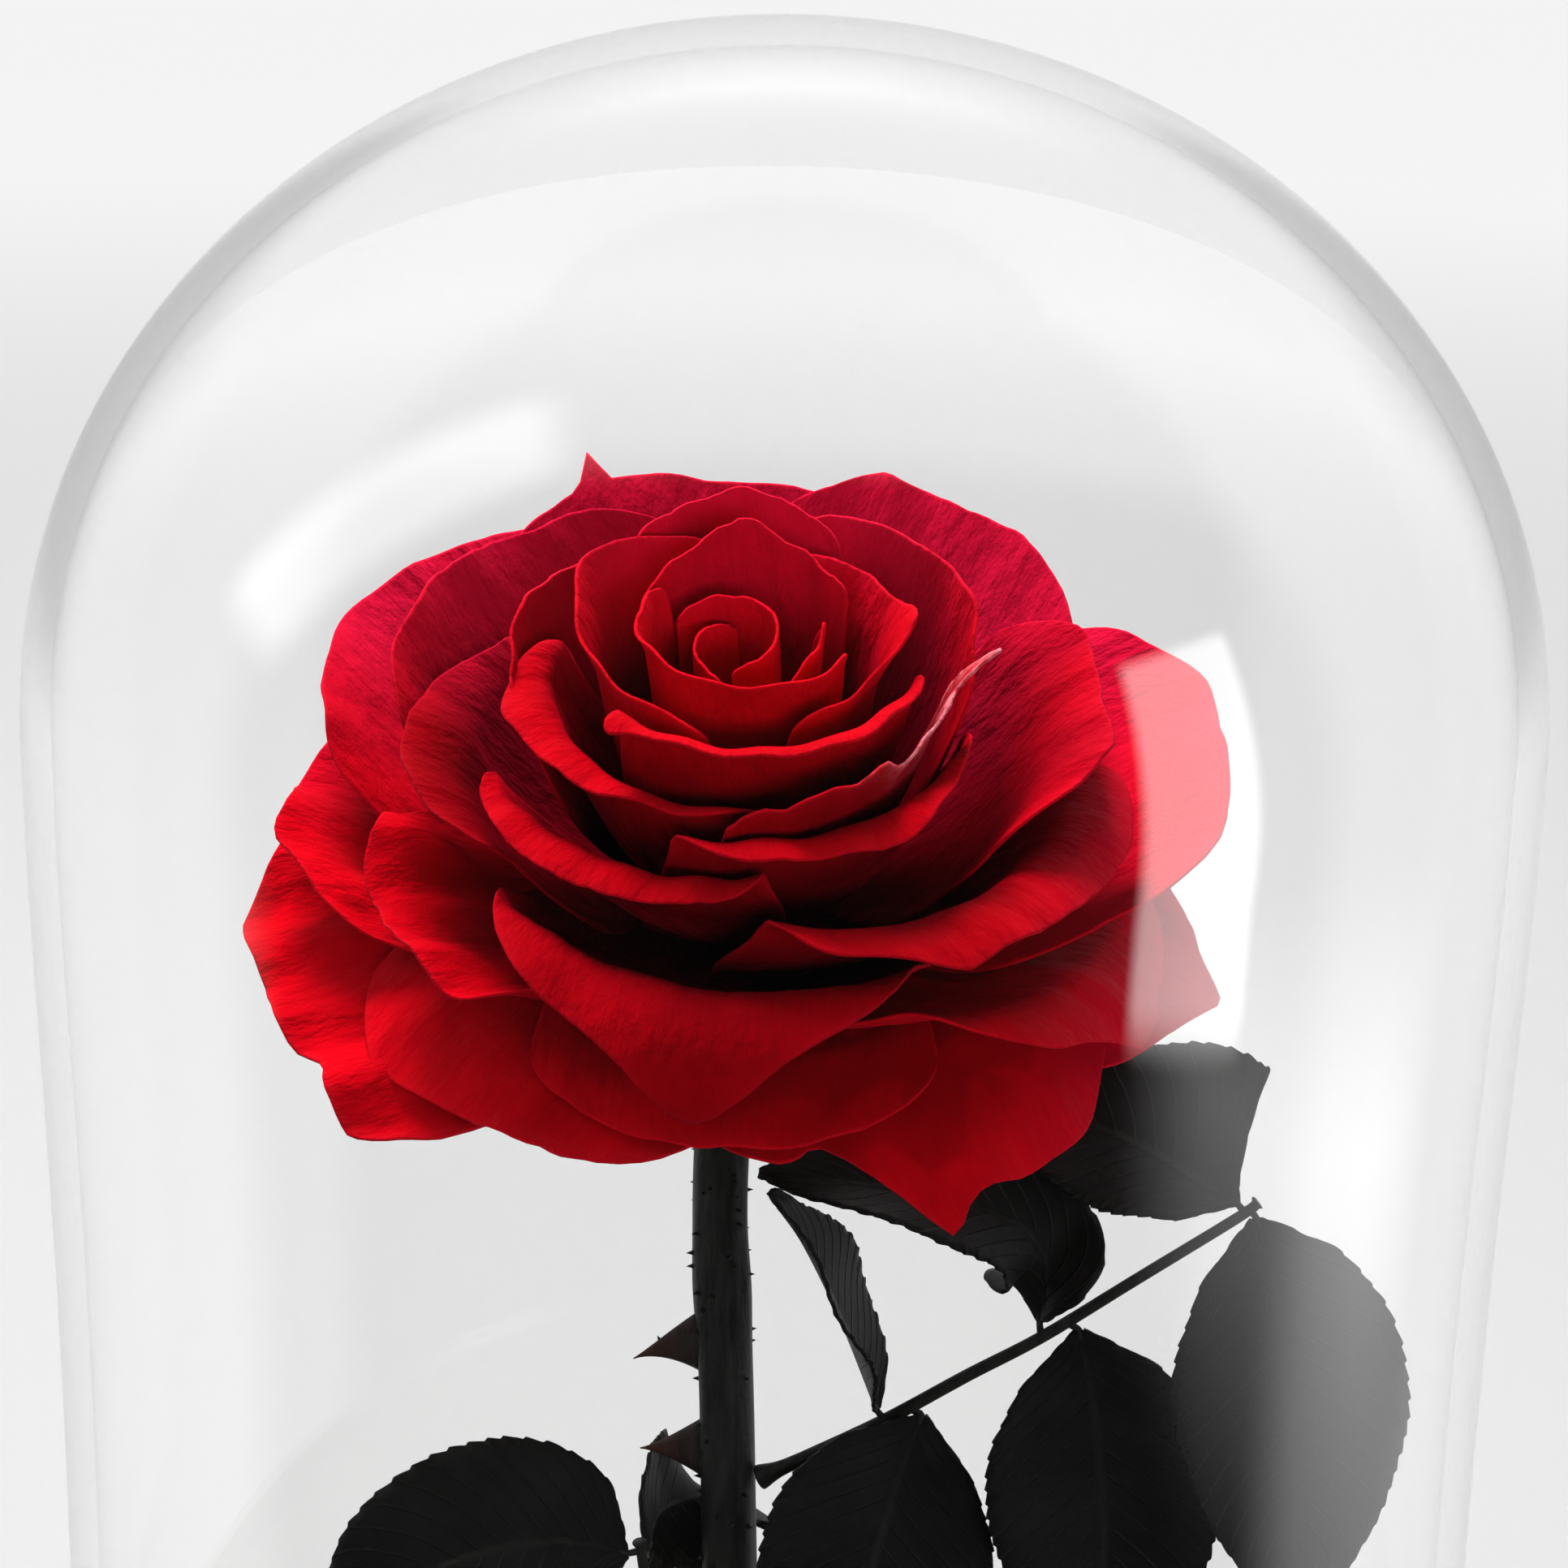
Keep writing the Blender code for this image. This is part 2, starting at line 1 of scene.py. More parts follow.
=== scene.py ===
"""A preserved red rose in a glass dome: velvety petals, serrated dark leaves, a thorny stem, thick clear
glass and a turned wooden base. Values multiplied by MM are in metres, and so is all of the studio. Plain
lengths of the stem, stalks, thorns, layers, petals, receptacle, sepals and leaflets are in millimetres."""

import math
from dataclasses import dataclass

import bmesh
import bpy
import numpy as np
from mathutils import Matrix, Vector

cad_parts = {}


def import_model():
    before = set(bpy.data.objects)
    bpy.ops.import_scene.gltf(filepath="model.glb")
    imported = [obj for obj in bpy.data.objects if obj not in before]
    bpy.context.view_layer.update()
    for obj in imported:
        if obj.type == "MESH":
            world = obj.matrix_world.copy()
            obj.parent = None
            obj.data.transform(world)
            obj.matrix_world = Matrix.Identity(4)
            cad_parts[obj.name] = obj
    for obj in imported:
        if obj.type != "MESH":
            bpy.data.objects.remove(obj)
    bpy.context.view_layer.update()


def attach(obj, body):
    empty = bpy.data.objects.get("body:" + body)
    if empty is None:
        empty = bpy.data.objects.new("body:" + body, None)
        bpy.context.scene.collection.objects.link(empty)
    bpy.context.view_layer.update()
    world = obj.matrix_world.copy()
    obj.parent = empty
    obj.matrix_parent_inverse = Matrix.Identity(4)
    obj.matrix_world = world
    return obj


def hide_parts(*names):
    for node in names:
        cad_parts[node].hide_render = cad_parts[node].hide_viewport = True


MM = 0.001
BODY = "root"
WHITE = (1, 1, 1, 1)

# The photograph's viewpoint. The roll is in radians, lens and sensor are in millimetres
CAMERA_TARGET = Vector((0.1, 0, 202)) * MM
CAMERA_DISTANCE = 442 * MM
CAMERA_ELEVATION = math.radians(16)
CAMERA_ROLL = -0.021
CAMERA_LENS = 84.04
CAMERA_SENSOR = 36
CAMERA_NEAR = 0.01

# Dome, with the sizes of its solid
DOME_HEAD_RADIUS = 90 * MM
DOME_WALL_RADIUS = 87.7 * MM
DOME_HEAD_RISE = 81 * MM
DOME_HEAD_HEIGHT = 212 * MM
DOME_SWELL_LENGTH = 55 * MM
GLASS_THICKNESS = 3.5 * MM
DOME_FOOT_GAP = 0.3 * MM
DOME_HEAD_STEPS = 40
DOME_WALL_STEPS = 36
DOME_LIP_STEPS = 8
DOME_SIDES = 192

# Base, with the sizes of its solid and finer edges
BASE_RADIUS = 105 * MM
BASE_HEIGHT = 22 * MM
BASE_STEP_RADIUS = 97 * MM
BASE_STEP_DEPTH = 4.5 * MM
BASE_FOOT_INSET = 4 * MM
GROOVE_DEPTH = 5 * MM
GROOVE_PLAY = 0.9 * MM
STEM_HOLE_RADIUS = 4.15 * MM
STEM_HOLE_DEPTH = 13.3 * MM
BASE_SOFT_EDGE = 0.5 * MM
BASE_FOOT_SOFT = 0.4 * MM
# The step's rounded upper edge, as (inwards, down) from its corner
BASE_STEP_ROUND = ((1.2 * MM, 0), (0.35 * MM, 0.35 * MM), (0, 1.2 * MM))
# The hollow between the step and the bulge, as (outwards, up) from the foot of the step
BASE_COVE_WIDTH = 1.5 * MM
BASE_COVE = ((0.2 * MM, 1.2 * MM), (0.6 * MM, 0.3 * MM), (BASE_COVE_WIDTH, 0))
# The bulge of the edge: degrees up and down from its middle, steps, and the share of the height it fills
BASE_BULGE_REACH = 80
BASE_BULGE_STEPS = 20
BASE_BULGE_HEIGHT = 0.95
BASE_SHARP_ANGLE = 50
BASE_SIDES = 160

# Stem: its radius and how far the ridged skin lies under it, its route, the share of the route that stays
# smooth inside the base, a grown node as (place, width, height) of a swelling, and the neck that widens
STEM_RADIUS = 3.65
STEM_SLACK = 0.12
STEM_ROUTE = ((0, 0, 9), (-0.2, 0.1, 22), (-1.6, 0.9, 42), (-3.7, 2.5, 68), (-4.9, 4, 95), (-5.8, 6.8, 120),
              (-6.9, 9.8, 141), (-6.7, 12.5, 155), (-5.7, 13.2, 165), (-5.0, 10.05, 173.15))
STEM_FOOT_SHARE = 0.09
# Ridges round the stem as (height, number of them, how far they twist, in radians)
STEM_RIDGES = ((0.09, 5, 4), (0.06, 9, -11))
STEM_NODE = (0.62, 0.03, 0.28)
STEM_NECK_FROM = 0.93
STEM_NECK_LENGTH = 0.07
STEM_NECK_HEIGHT = 0.5
STEM_RINGS = 150
STEM_SIDES = 28
TANGENT_STEP = 0.004
ROUTE_CHECKS = 400

# Thorns: height of the root's middle, turn round the stem in degrees (180 is left), length, droop of tip
THORNS = ((126, 184, 8.0, 2.5), (112, 178, 7.6, 0.5), (88, 60, 6.5, 1.5), (76, 250, 7.0, 1.5),
          (52, 150, 7.0, 1.5), (40, 330, 6.0, 1.0))
# How deep a thorn's root sits under the skin, its half height and half thickness at root and tip, how
# quickly it slims and how late it turns brown
THORN_ROOT_DEPTH = 1.6
THORN_ROOT_HEIGHT = 4.9
THORN_ROOT_THICKNESS = 1.5
THORN_TIP_HEIGHT = 0.08
THORN_TIP_THICKNESS = 0.06
THORN_SLIMNESS = 1.35
THORN_FLATNESS = 0.8
THORN_BROWN_RISE = 1.5
THORN_RINGS = 14
THORN_SIDES = 12

# Prickles strewn over the stem, from the least to the most share of their size
PRICKLES_PER_SQUARE_METRE = 45000.0
PRICKLE_LENGTH = 0.8 * MM
PRICKLE_RADIUS = 0.3 * MM
PRICKLE_TIP = 0.02 * MM
PRICKLE_LEAST_SIZE = 0.45
PRICKLE_MOST_SIZE = 1.2
PRICKLE_SIDES = 6
PRICKLE_SEED = 4

# Leaf stalks, with (place, width, height) of the swellings at foot and tip, and the little stalks on them
STALK_ROUTES = {
    "leaf_stalk_right": ((-1.15, 4.15, 108.6), (5.4, 3, 112.5), (14.6, 2, 118), (24.7, 0.2, 125.2),
                         (34.1, -1, 131.4), (45.4, -2, 139.8), (57.5, -3, 148.7), (60.0, -3, 150.8)),
    "leaf_stalk_left": ((-7.85, 1.0, 63.7), (-10.2, -0.2, 72), (-13.0, -1.5, 85), (-15.2, -2, 95),
                        (-16.4, -2.2, 102.5)),
}
STALK_RADIUS = 0.95
STALK_TAPER = 0.3
STALK_GROOVE = 0.08
STALK_FOOT = (0, 0.05, 0.7)
STALK_TIP = (0.985, 0.02, 0.35)
STALK_RINGS = 90
STALK_SIDES = 14
LITTLE_STALK_RADIUS = 0.5
LITTLE_STALK_TAPER = 0.12
LITTLE_STALK_ENTRY = 1.2
LITTLE_STALK_RINGS = 12
LITTLE_STALK_SIDES = 10

# Flower head: where it sits, how far it nods, and how far a layer's curve is followed
HEAD_CENTRE = Vector((-5, -3, 200)) * MM
HEAD_NOD = math.radians(26)
REACH = 64.0
BEYOND_REACH = 1.1
FOLLOW_STEPS = 28

# Every petal: its wall, its root, where it is widest, and its grid, which crowds towards the rim and sides
PETAL_THICKNESS = 0.36 * MM
PETAL_ROOT_WIDTH = 3.0
WIDEST_AT = 0.75
CLAW_SLIMNESS = 1.2
CORNER_ROUNDNESS = 2.4
LEAST_RADIUS = 2
PETAL_ROWS = 58
PETAL_COLUMNS = 46
EVEN_ROWS = 0.35
ROW_CROWDING = 1.6
EVEN_COLUMNS = 0.4

# How each form of a petal grows from its root to its rim, as powers of the share of its length
TIP_RISE = 2.5
WAVE_RISE = 2.5
FRILL_RISE = 5
DENT_RISE = 1.5
TEAR_RISE = 6
ROLL_RISE = 0.65
# The twist grows in proportion and is whole at two thirds of the length
TWIST_RISE = 1.5
# Points of the rim are sharper than a bell curve, whose power is 2
TIP_SHARPNESS = 1.6

# Tears of the rim, across a petal whose sides are at -1 and 1, and dents of its face
TEARS_COARSE = 14
TEARS_FINE = 45
TEARS_FINE_SHARE = 0.7
TEAR_WAVES = 9
TEAR_SEED = 50
DENT_WIDTH = 3.6
DENT_LENGTH = 6.5
FINE_DENT_WIDTH = 1.3
FINE_DENT_LENGTH = 2.6
FINE_DENT_SHARE = 0.22
FINE_DENT_SEED = 80

# Pale rim of a petal, and from which share of its length it runs along the sides
RIM_WIDTH = 0.7
SIDE_RIM_START = 0.6
# Painted pink glow of back light on the petals at the back and at the far right, in the head's frame
PAINTED_GLOW = 0.8
PAINTED_GLOW_BACK_REACH = 30
PAINTED_GLOW_BACK_START = 0.1
PAINTED_GLOW_RIGHT_REACH = 36
PAINTED_GLOW_RIGHT_START = 0.8
PAINTED_GLOW_RISE = 1.5
# Painted shade of dark crimson from the heart to the outer ring: over the whole petal, and more in the
# folds under its rim
PAINTED_SHADE_LAYERS = (0.1, 0.35, 0.62, 0.8)
PAINTED_SHADE_SHARES = (0.0, 0.25, 0.3, 0.0)
PAINTED_FOLD_SHADE = (0.35, 0.75, 0.7, 0.1)
PAINTED_SHADE_RIM = 0.97
PAINTED_SHADE_FADE = 0.33

# Colours as red, green and blue: the two ends of the mottling, then what is laid over it
PETAL_RED_LOW = (0.46, 0.0003, 0.0045)
PETAL_RED_HIGH = (0.64, 0.0005, 0.0065)
PETAL_VEIN = (0.34, 0.0, 0.005)
# Painted shade, then a painted pink glow of back light
PETAL_PAINTED_SHADE = (0.07, 0.0, 0.0012)
PETAL_PAINTED_GLOW = (0.66, 0.006, 0.045)
PETAL_RIM = (0.8, 0.01, 0.03)
PETAL_BLEACHED = (0.8, 0.22, 0.26)
PETAL_SHEEN = (1, 0.01, 0.05, 1)
PETAL_GLOSS = (1, 0.04, 0.08, 1)
RIM_PALENESS = 0.14
LEAF_LOW = (0.0022, 0.0025, 0.0021)
LEAF_HIGH = (0.007, 0.0075, 0.0068)
LEAF_VEIN = (0.018, 0.019, 0.017)
LEAF_VEIN_PALENESS = 0.45
BARK_LOW = (0.0045, 0.005, 0.0045)
BARK_HIGH = (0.022, 0.0235, 0.021)
THORN_BROWN = (0.05, 0.018, 0.014)
CALYX_LOW = (0.018, 0.022, 0.014)
CALYX_HIGH = (0.06, 0.068, 0.04)
WOOD_LOW = (0.022, 0.011, 0.006)
WOOD_HIGH = (0.07, 0.036, 0.02)
WOOD_DRIFT = (0.04, 0.02, 0.011)
WOOD_PORE = (0.012, 0.006, 0.004)
GLASS_SHADOW = (0.96, 0.965, 0.965, 1)
GLASS_INDEX = 1.5

# Fineness of each noise: about its cells per metre, or along X, Y and Z where it is stretched. On a petal's
# flat map they are cells per millimetre across and along the petal
PETAL_VEIN_GRAIN = (1.5, 0.09, 1)
PETAL_CREASE_GRAIN = (0.42, 0.17, 1)
PETAL_MOTTLE_GRAIN = 95
PETAL_FRAY_GRAIN = 700
PETAL_FUZZ_GRAIN = 2600
LEAF_MOTTLE_GRAIN = 110
LEAF_NET_GRAIN = 900
BARK_STREAK_GRAIN = (900, 900, 60)
BARK_GRAIN = 420
CALYX_GRAIN = 300
WOOD_DRIFT_GRAIN = (6, 40, 40)
WOOD_PORE_GRAIN = (90, 1500, 1500)
# How much the wave of the wood's bands is squeezed along X, Y and Z
WOOD_BAND_SQUEEZE = (4, 60, 60)
# Depth of each relief
PETAL_CREASE_DEPTH = 2.2 * MM
PETAL_VEIN_DEPTH = 0.3 * MM
PETAL_FUZZ_DEPTH = 0.12 * MM
LEAF_VEIN_HEIGHT = 0.3 * MM
LEAF_NET_DEPTH = 0.12 * MM
BARK_RELIEF_DEPTH = 0.2 * MM
CALYX_RELIEF_DEPTH = 0.3 * MM
WOOD_PORE_DEPTH = 0.2 * MM

# Layers of the bloom: place from 0 (heart) to 1 (outer ring), root radius, root height, and the four
# control angles of the layer's curve from the flower's axis
LAYERS = (
    (0.00, 0.6, -11.5, (8, 4, 0, -4)),
    (0.25, 3.2, -12.8, (42, 8, -2, 12)),
    (0.45, 5.4, -14.2, (62, 24, 0, 30)),
    (0.60, 6.8, -15.2, (74, 46, 4, 46)),
    (0.75, 8.0, -16.4, (82, 64, 24, 70)),
    (0.88, 9.0, -17.6, (86, 74, 62, 110)),
    (1.00, 10.0, -18.6, (88, 80, 96, 170)),
)


@dataclass
class Petal:
    """turn: degrees round the axis, 0 right, 90 back, 180 left, 270 front. shoulder: share of the length
    that the corners lack. twist: change of layer from edge to edge. skew: extra length on the far edge.
    roll: degrees that the rim rolls outwards past roll_from. wave: height of one slow wave from side to
    side. tips: (place across, height, spread) of points and notches in the rim. frill: height and number
    of the rim's waves. crumple: depth of the dents in its face. pleats: (place across, height, spread) of
    lengthwise folds. ragged: depth of the tears along the rim. lean: how far its top leans to the right
    and to the back. worn: (place across, depth, spread) of bleached bands under the rim. deep: extra share
    of painted shade, dark crimson laid on where shade falls."""

    name: str
    turn: float
    layer: float
    width: float
    length: float
    shoulder: float = 0.2
    twist: float = 0.0
    skew: float = 0.0
    roll: float = 0.0
    roll_from: float = 0.7
    wave: float = 0.0
    tips: tuple = ()
    frill: tuple = (0.25, 5)
    crumple: float = 0.38
    pleats: tuple = ()
    ragged: float = 0.12
    lean: tuple = (0, 0)
    worn: tuple = ()
    deep: float = 0.0


PETALS = (
    Petal("petal_heart_inner", 178, 0.045, 15.5, 37, 0.08, crumple=0.0, frill=(0.08, 3), lean=(0.3, 0)),
    Petal("petal_heart_outer", 30, 0.055, 24, 38.5, 0.06, twist=0.03, tips=((0.35, 1.0, 0.5),), crumple=0.0,
          frill=(0.1, 3), lean=(-2, 0)),
    Petal("petal_heart_small", 340, 0.11, 14, 41, 0.20, tips=((0.3, 2, 0.2),), crumple=0.0, frill=(0.1, 3)),
    Petal("petal_bud_front", 244, 0.152, 39, 44, 0.06, twist=0.02, roll=25, roll_from=0.9, crumple=0.12),
    Petal("petal_bud_back", 92, 0.195, 28, 43.5, 0.08, twist=-0.01, tips=((0, 4, 0.35),), crumple=0.12),
    Petal("petal_bud_left", 176, 0.26, 48, 44.5, 0.10, twist=-0.02, roll=20, roll_from=0.85,
          tips=((-0.3, 3, 0.35),), crumple=0.16),
    Petal("petal_bud_right", 4, 0.245, 40, 43.5, 0.08, twist=0.02, roll=20, roll_from=0.85,
          tips=((-0.15, 5, 0.25),), crumple=0.16),
    Petal("petal_bud_lip", 284, 0.31, 40, 47.5, 0.04, twist=0.01, roll=85, roll_from=0.93,
          tips=((-0.95, 3, 0.12),), crumple=0.18),
    Petal("petal_inner_left", 160, 0.418, 32, 44.5, 0.12, twist=0.01, tips=((0.2, 1.5, 0.3),),
          crumple=0.25),
    Petal("petal_inner_back", 95, 0.33, 28, 47.5, 0.14, tips=((-0.1, 1.5, 0.3),), crumple=0.25),
    Petal("petal_inner_right", 36, 0.42, 43, 47.5, 0.17, tips=((-0.5, 1.5, 0.25),), crumple=0.25),
    Petal("petal_inner_front_left", 220, 0.365, 46, 44.2, 0.18, roll=95, roll_from=0.87,
          tips=((-0.45, 1.5, 0.2), (0.45, -1.5, 0.2)), crumple=0.28),
    Petal("petal_torn", 309, 0.395, 36, 46.5, 0.08, twist=-0.025, roll=15, roll_from=0.86,
          tips=((0.86, 10, 0.1), (-0.1, 1, 0.2)), crumple=0.25, ragged=1.1,
          worn=((0.8, 4.5, 0.45), (0.3, 1.5, 0.3))),
    Petal("petal_inner_front_right", 301, 0.445, 44, 46, 0.16, skew=-1.5, roll=90, roll_from=0.89,
          tips=((0.1, 1.5, 0.25),), crumple=0.28),
    Petal("petal_middle_front_left", 238, 0.49, 39, 43.5, 0.12, skew=0.5, twist=-0.02, roll=105,
          roll_from=0.86, crumple=0.28),
    Petal("petal_middle_left", 176, 0.575, 45, 43.2, 0.18, skew=2.5, roll=40, roll_from=0.8,
          tips=((0.35, 1.0, 0.3), (-0.6, -1.5, 0.3)), crumple=0.45, deep=0.35),
    Petal("petal_middle_back_left", 140, 0.645, 54, 50.5, 0.20, tips=((-0.3, -1.5, 0.3),)),
    Petal("petal_middle_back", 101, 0.725, 52, 53.5, 0.20, twist=-0.015,
          tips=((0.42, 5, 0.05), (-0.3, -2, 0.3))),
    Petal("petal_middle_back_right", 56, 0.685, 47, 52.5, 0.20, twist=-0.015,
          tips=((0.5, 2, 0.2), (-0.4, 1, 0.2))),
    Petal("petal_middle_right", 1, 0.585, 38, 49.5, 0.22, roll=30, roll_from=0.8,
          tips=((0.6, 2, 0.2), (-0.5, 3, 0.3))),
    Petal("petal_middle_front_right", 320, 0.62, 56, 48.5, 0.18, skew=2, twist=0.06, roll=90,
          roll_from=0.80, tips=((-0.38, 2.5, 0.15), (-0.95, 2.5, 0.2)), crumple=0.4),
    Petal("petal_front_tongue", 263, 0.645, 56, 48.5, 0.36, skew=-1.5, twist=0.02, roll=95, roll_from=0.79,
          tips=((0.06, 9.5, 0.25),), deep=0.2),
    Petal("petal_crumpled_left", 211, 0.72, 40, 44.5, 0.30, roll=30, roll_from=0.7, tips=((-0.2, -2, 0.2),),
          crumple=1.5, pleats=((-0.3, 1.5, 0.1), (0.3, -1.2, 0.12))),
    Petal("petal_outer_back_left", 143, 0.77, 60, 53.8, 0.20, wave=1.0,
          tips=((-0.42, -1.0, 0.2), (0.3, 1, 0.2)), crumple=0.5),
    Petal("petal_outer_right", 12, 0.80, 52, 55.5, 0.25, wave=1.5, tips=((0.35, 2, 0.2),)),
    Petal("petal_outer_front_right", 330, 0.82, 54, 47, 0.25, skew=3, twist=0.1, roll=80, roll_from=0.8,
          tips=((-0.5, 2, 0.25), (0.12, 4.5, 0.25)), crumple=0.4,
          pleats=((-0.1, 0.8, 0.05), (0.05, -0.7, 0.05), (0.5, 0.8, 0.06))),
    Petal("petal_outer_left", 170, 0.836, 48, 48.6, 0.30, tips=((0.5, 2.5, 0.2), (-0.15, -1.5, 0.3)),
          crumple=0.85),
    Petal("petal_drooping_left", 197, 0.93, 58, 49.5, 0.22, twist=0.03,
          tips=((-0.38, 3, 0.22), (0.45, -2.0, 0.12), (0.78, 2.5, 0.1)), crumple=1.0,
          pleats=((-0.05, 1.0, 0.08), (0.4, -0.9, 0.06))),
    Petal("petal_drooping_front_left", 231, 0.874, 52, 41.5, 0.20, skew=-1.5, roll=30, roll_from=0.6,
          tips=((-0.55, 2, 0.2), (0.3, -1, 0.3)), crumple=0.5),
    Petal("petal_drooping_front", 270, 0.825, 50, 37.6, 0.20, roll=30, roll_from=0.6, crumple=0.4),
    Petal("petal_drooping_point", 306, 0.905, 60, 39.9, 0.28, skew=2.5, roll=30, roll_from=0.6,
          tips=((-0.26, 7.5, 0.13), (-0.55, -4.5, 0.13), (0.1, 4, 0.3), (0.5, 4, 0.3)), crumple=0.5),
    Petal("petal_drooping_right", 351, 0.963, 42, 46.5, 0.35, twist=-0.02,
          tips=((-0.05, 4.5, 0.2), (-0.7, -1, 0.3))),
    Petal("petal_hidden_back_right", 70, 0.86, 60, 52, 0.30, crumple=0.4),
    Petal("petal_hidden_back_left", 115, 0.945, 54, 50, 0.30, crumple=0.4),
    Petal("petal_hidden_right", 32, 0.995, 52, 50, 0.30, twist=-0.01, crumple=0.4),
)

# Receptacle and sepals in the head's frame, as (radius, height), and the sepals' notches and swing
RECEPTACLE = ((0, -29.5), (3.2, -29.5), (4.4, -29.0), (6.0, -28.0), (7.6, -26.6), (9.0, -24.8),
              (10.1, -22.8), (10.7, -21.2), (10.7, -20.0), (9.7, -18.9), (8.1, -17.1), (5.6, -14.9),
              (3.3, -13.5), (0, -12.3))
HIP_SIDES = 48
SEPAL_TURNS = (20, 92, 164, 236, 308)
SEPAL_LINE = ((8.5, -22.5), (13.5, -24.0), (15.5, -33.0), (14.0, -46.0))
SEPAL_THICKNESS = 0.63 * MM
SEPAL_WIDTH = 7.5
SEPAL_TIP_WIDTH = 0.15
SEPAL_TAPER = 0.7
SEPAL_NOTCH = 0.16
SEPAL_NOTCH_WAVES = 31
SEPAL_NOTCH_FROM = 0.3
SEPAL_CUP = 0.8
SEPAL_CUP_RISE = 1.5
SEPAL_SWING = 0.35
SEPAL_SWING_WAVES = 9
SEPAL_ROWS = 40
SEPAL_COLUMNS = 9


@dataclass
class Leaflet:
    """path: the midrib from stalk to tip. face: where its upper side looks. fold: degrees that each half
    rises. joint: where its own little stalk leaves the leaf stalk. corner: how far a pointed lobe stands
    out of one half near the stalk."""

    name: str
    path: tuple
    width: float
    face: tuple
    joint: tuple
    fold: float = 12.0
    corner: float = 0.0


LEAFLETS = (
    Leaflet("leaflet_right_1_down", ((19.3, 1.0, 119.3), (15.5, -1, 108), (11.5, -4, 92), (9, -6, 74)), 30,
            (0, -1, 0.1), (17.5, 1.5, 120.0)),
    Leaflet("leaflet_right_2_down",
            ((38.6, -1.9, 132.7), (41, -3.5, 121), (42.5, -5.5, 103), (42, -7.5, 83)), 30, (0, -1, 0.15),
            (37.0, -1.3, 133.5)),
    Leaflet("leaflet_right_3_down", ((59.8, -4.0, 149.0), (63, -7.5, 135), (65, -11, 117), (66, -14, 98)),
            31, (0.15, -1, 0.15), (59.0, -3, 149.9)),
    Leaflet("leaflet_right_1_up", ((13.6, 1.9, 119.4), (9.1, -1, 132), (4.2, -5, 144), (-0.5, -8, 153)), 18,
            (0.93, -0.12, 0.35), (14.6, 2, 118), 20),
    Leaflet("leaflet_right_2_up",
            ((33.7, -0.6, 133.0), (33.6, -0.5, 142.5), (24, 0, 148.5), (-2, -1, 152.5)), 21,
            (-0.25, -0.35, 0.9), (33.9, -0.9, 131.3), 14),
    Leaflet("leaflet_right_3_up", ((57.5, -2.6, 150.3), (53, 0, 151.8), (43, 6, 155.5), (22, 15, 160)), 23,
            (0.1, -0.7, 0.7), (58.5, -3, 149.4), corner=10.0),
    Leaflet("leaflet_left_1_out", ((-17.8, -2.8, 101), (-28, -6, 104), (-42, -11, 102), (-57, -15, 92)), 28,
            (0, -0.85, 0.5), (-16.2, -2.1, 101.0)),
    Leaflet("leaflet_left_1_back", ((-15.2, -0.9, 100.8), (-13.6, 9.5, 101), (-5, 17, 99), (6, 20, 90)), 19,
            (-1, -0.6, 0), (-16.1, -2.1, 100.6)),
    Leaflet("leaflet_left_2_out", ((-14.4, -1.6, 86.6), (-26, -6, 86), (-38, -12, 78), (-48, -16, 66)), 26,
            (-0.2, -0.8, 0.6), (-13.2, -1.6, 85.8)),
    Leaflet("leaflet_left_2_front", ((-12.1, -2.9, 85.4), (-9, -13, 83), (-3, -22, 75), (3, -29, 63)), 25,
            (-0.1, -0.6, 0.8), (-13.0, -1.5, 84.6)),
)
LEAFLET_THICKNESS = 0.45 * MM
LEAF_ROWS = 145
LEAF_COLUMNS = 17
MIDRIB_STEPS = 40
# Share of the half width at places along the blade
LEAF_OUTLINE = ((0, 0.04), (0.05, 0.3), (0.16, 0.72), (0.38, 1.0), (0.62, 0.86), (0.84, 0.46), (1, 0.02))
LEAF_TEETH = 24.0
LEAF_TOOTH_DEPTH = 0.45 * MM
TOOTH_MIDDLE = 0.6
TOOTH_RISE = 5.0
LOBE_PEAK = 0.14
LOBE_END = 0.5
LOBE_SHARPNESS = 2.0
LEAF_RIPPLE = 0.7 * MM
RIPPLE_WAVES = 13.0
RIPPLE_SLANT = 1.7
RIPPLE_RISE = 1.5
RIPPLE_SHIFT = 1.7
# Side veins of a whole leaflet and how far they slant: as painted, then as a relief, waves in radians
LEAF_VEINS = 15
LEAF_VEIN_SLANT = 3.2
LEAF_VEIN_WIDTH = 0.09
LEAF_MIDRIB_WIDTH = 0.06
VEIN_RELIEF = 0.14 * MM
VEIN_RELIEF_WAVES = 94.25
VEIN_RELIEF_SLANT = 20.1

# Studio levels, as radiance. The floor is a little brighter through the glass, to make up for what the two
# walls, with their four faces, mirror away
FLOOR_RADIUS = 6.0
FLOOR_SIDES = 64
FLOOR_PALE = 0.2
FLOOR_GLOW_NEAR = 0.38
FLOOR_GLOW_FAR = 0.78
FLOOR_GLOW_FADE = (0.2, 2.5)
GLASS_GAIN = 0.1
GLASS_FACES = 4
ROOM_SEEN = 0.88
ROOM_FRONT = 0.01
ROOM_BACK = 0.86
# Directions between which the room turns from dark to bright, from -1 in front to 1 behind. Its top counts
# as further behind than it is
ROOM_DARK_UNTIL = -0.2
ROOM_BRIGHT_FROM = 0.05
ROOM_TOP = (0.5, 1.0)
ROOM_TOP_PULL = 0.45
# Dark cards behind on both sides: how dark they are, and the directions between which each edge fades in
ROOM_SIDE_DARK = 0.3
CARD_INNER_EDGE = (0.2, 0.32)
CARD_OUTER_EDGE = (0.8, 0.62)
CARD_FOOT = (-0.25, -0.1)
CARD_TOP = (0.4, 0.25)
# Watts per square metre of a flat lamp for each unit of radiance, and the most that a fade takes of a side
WATTS_PER_RADIANCE = 4
WIDEST_FADE = 0.99

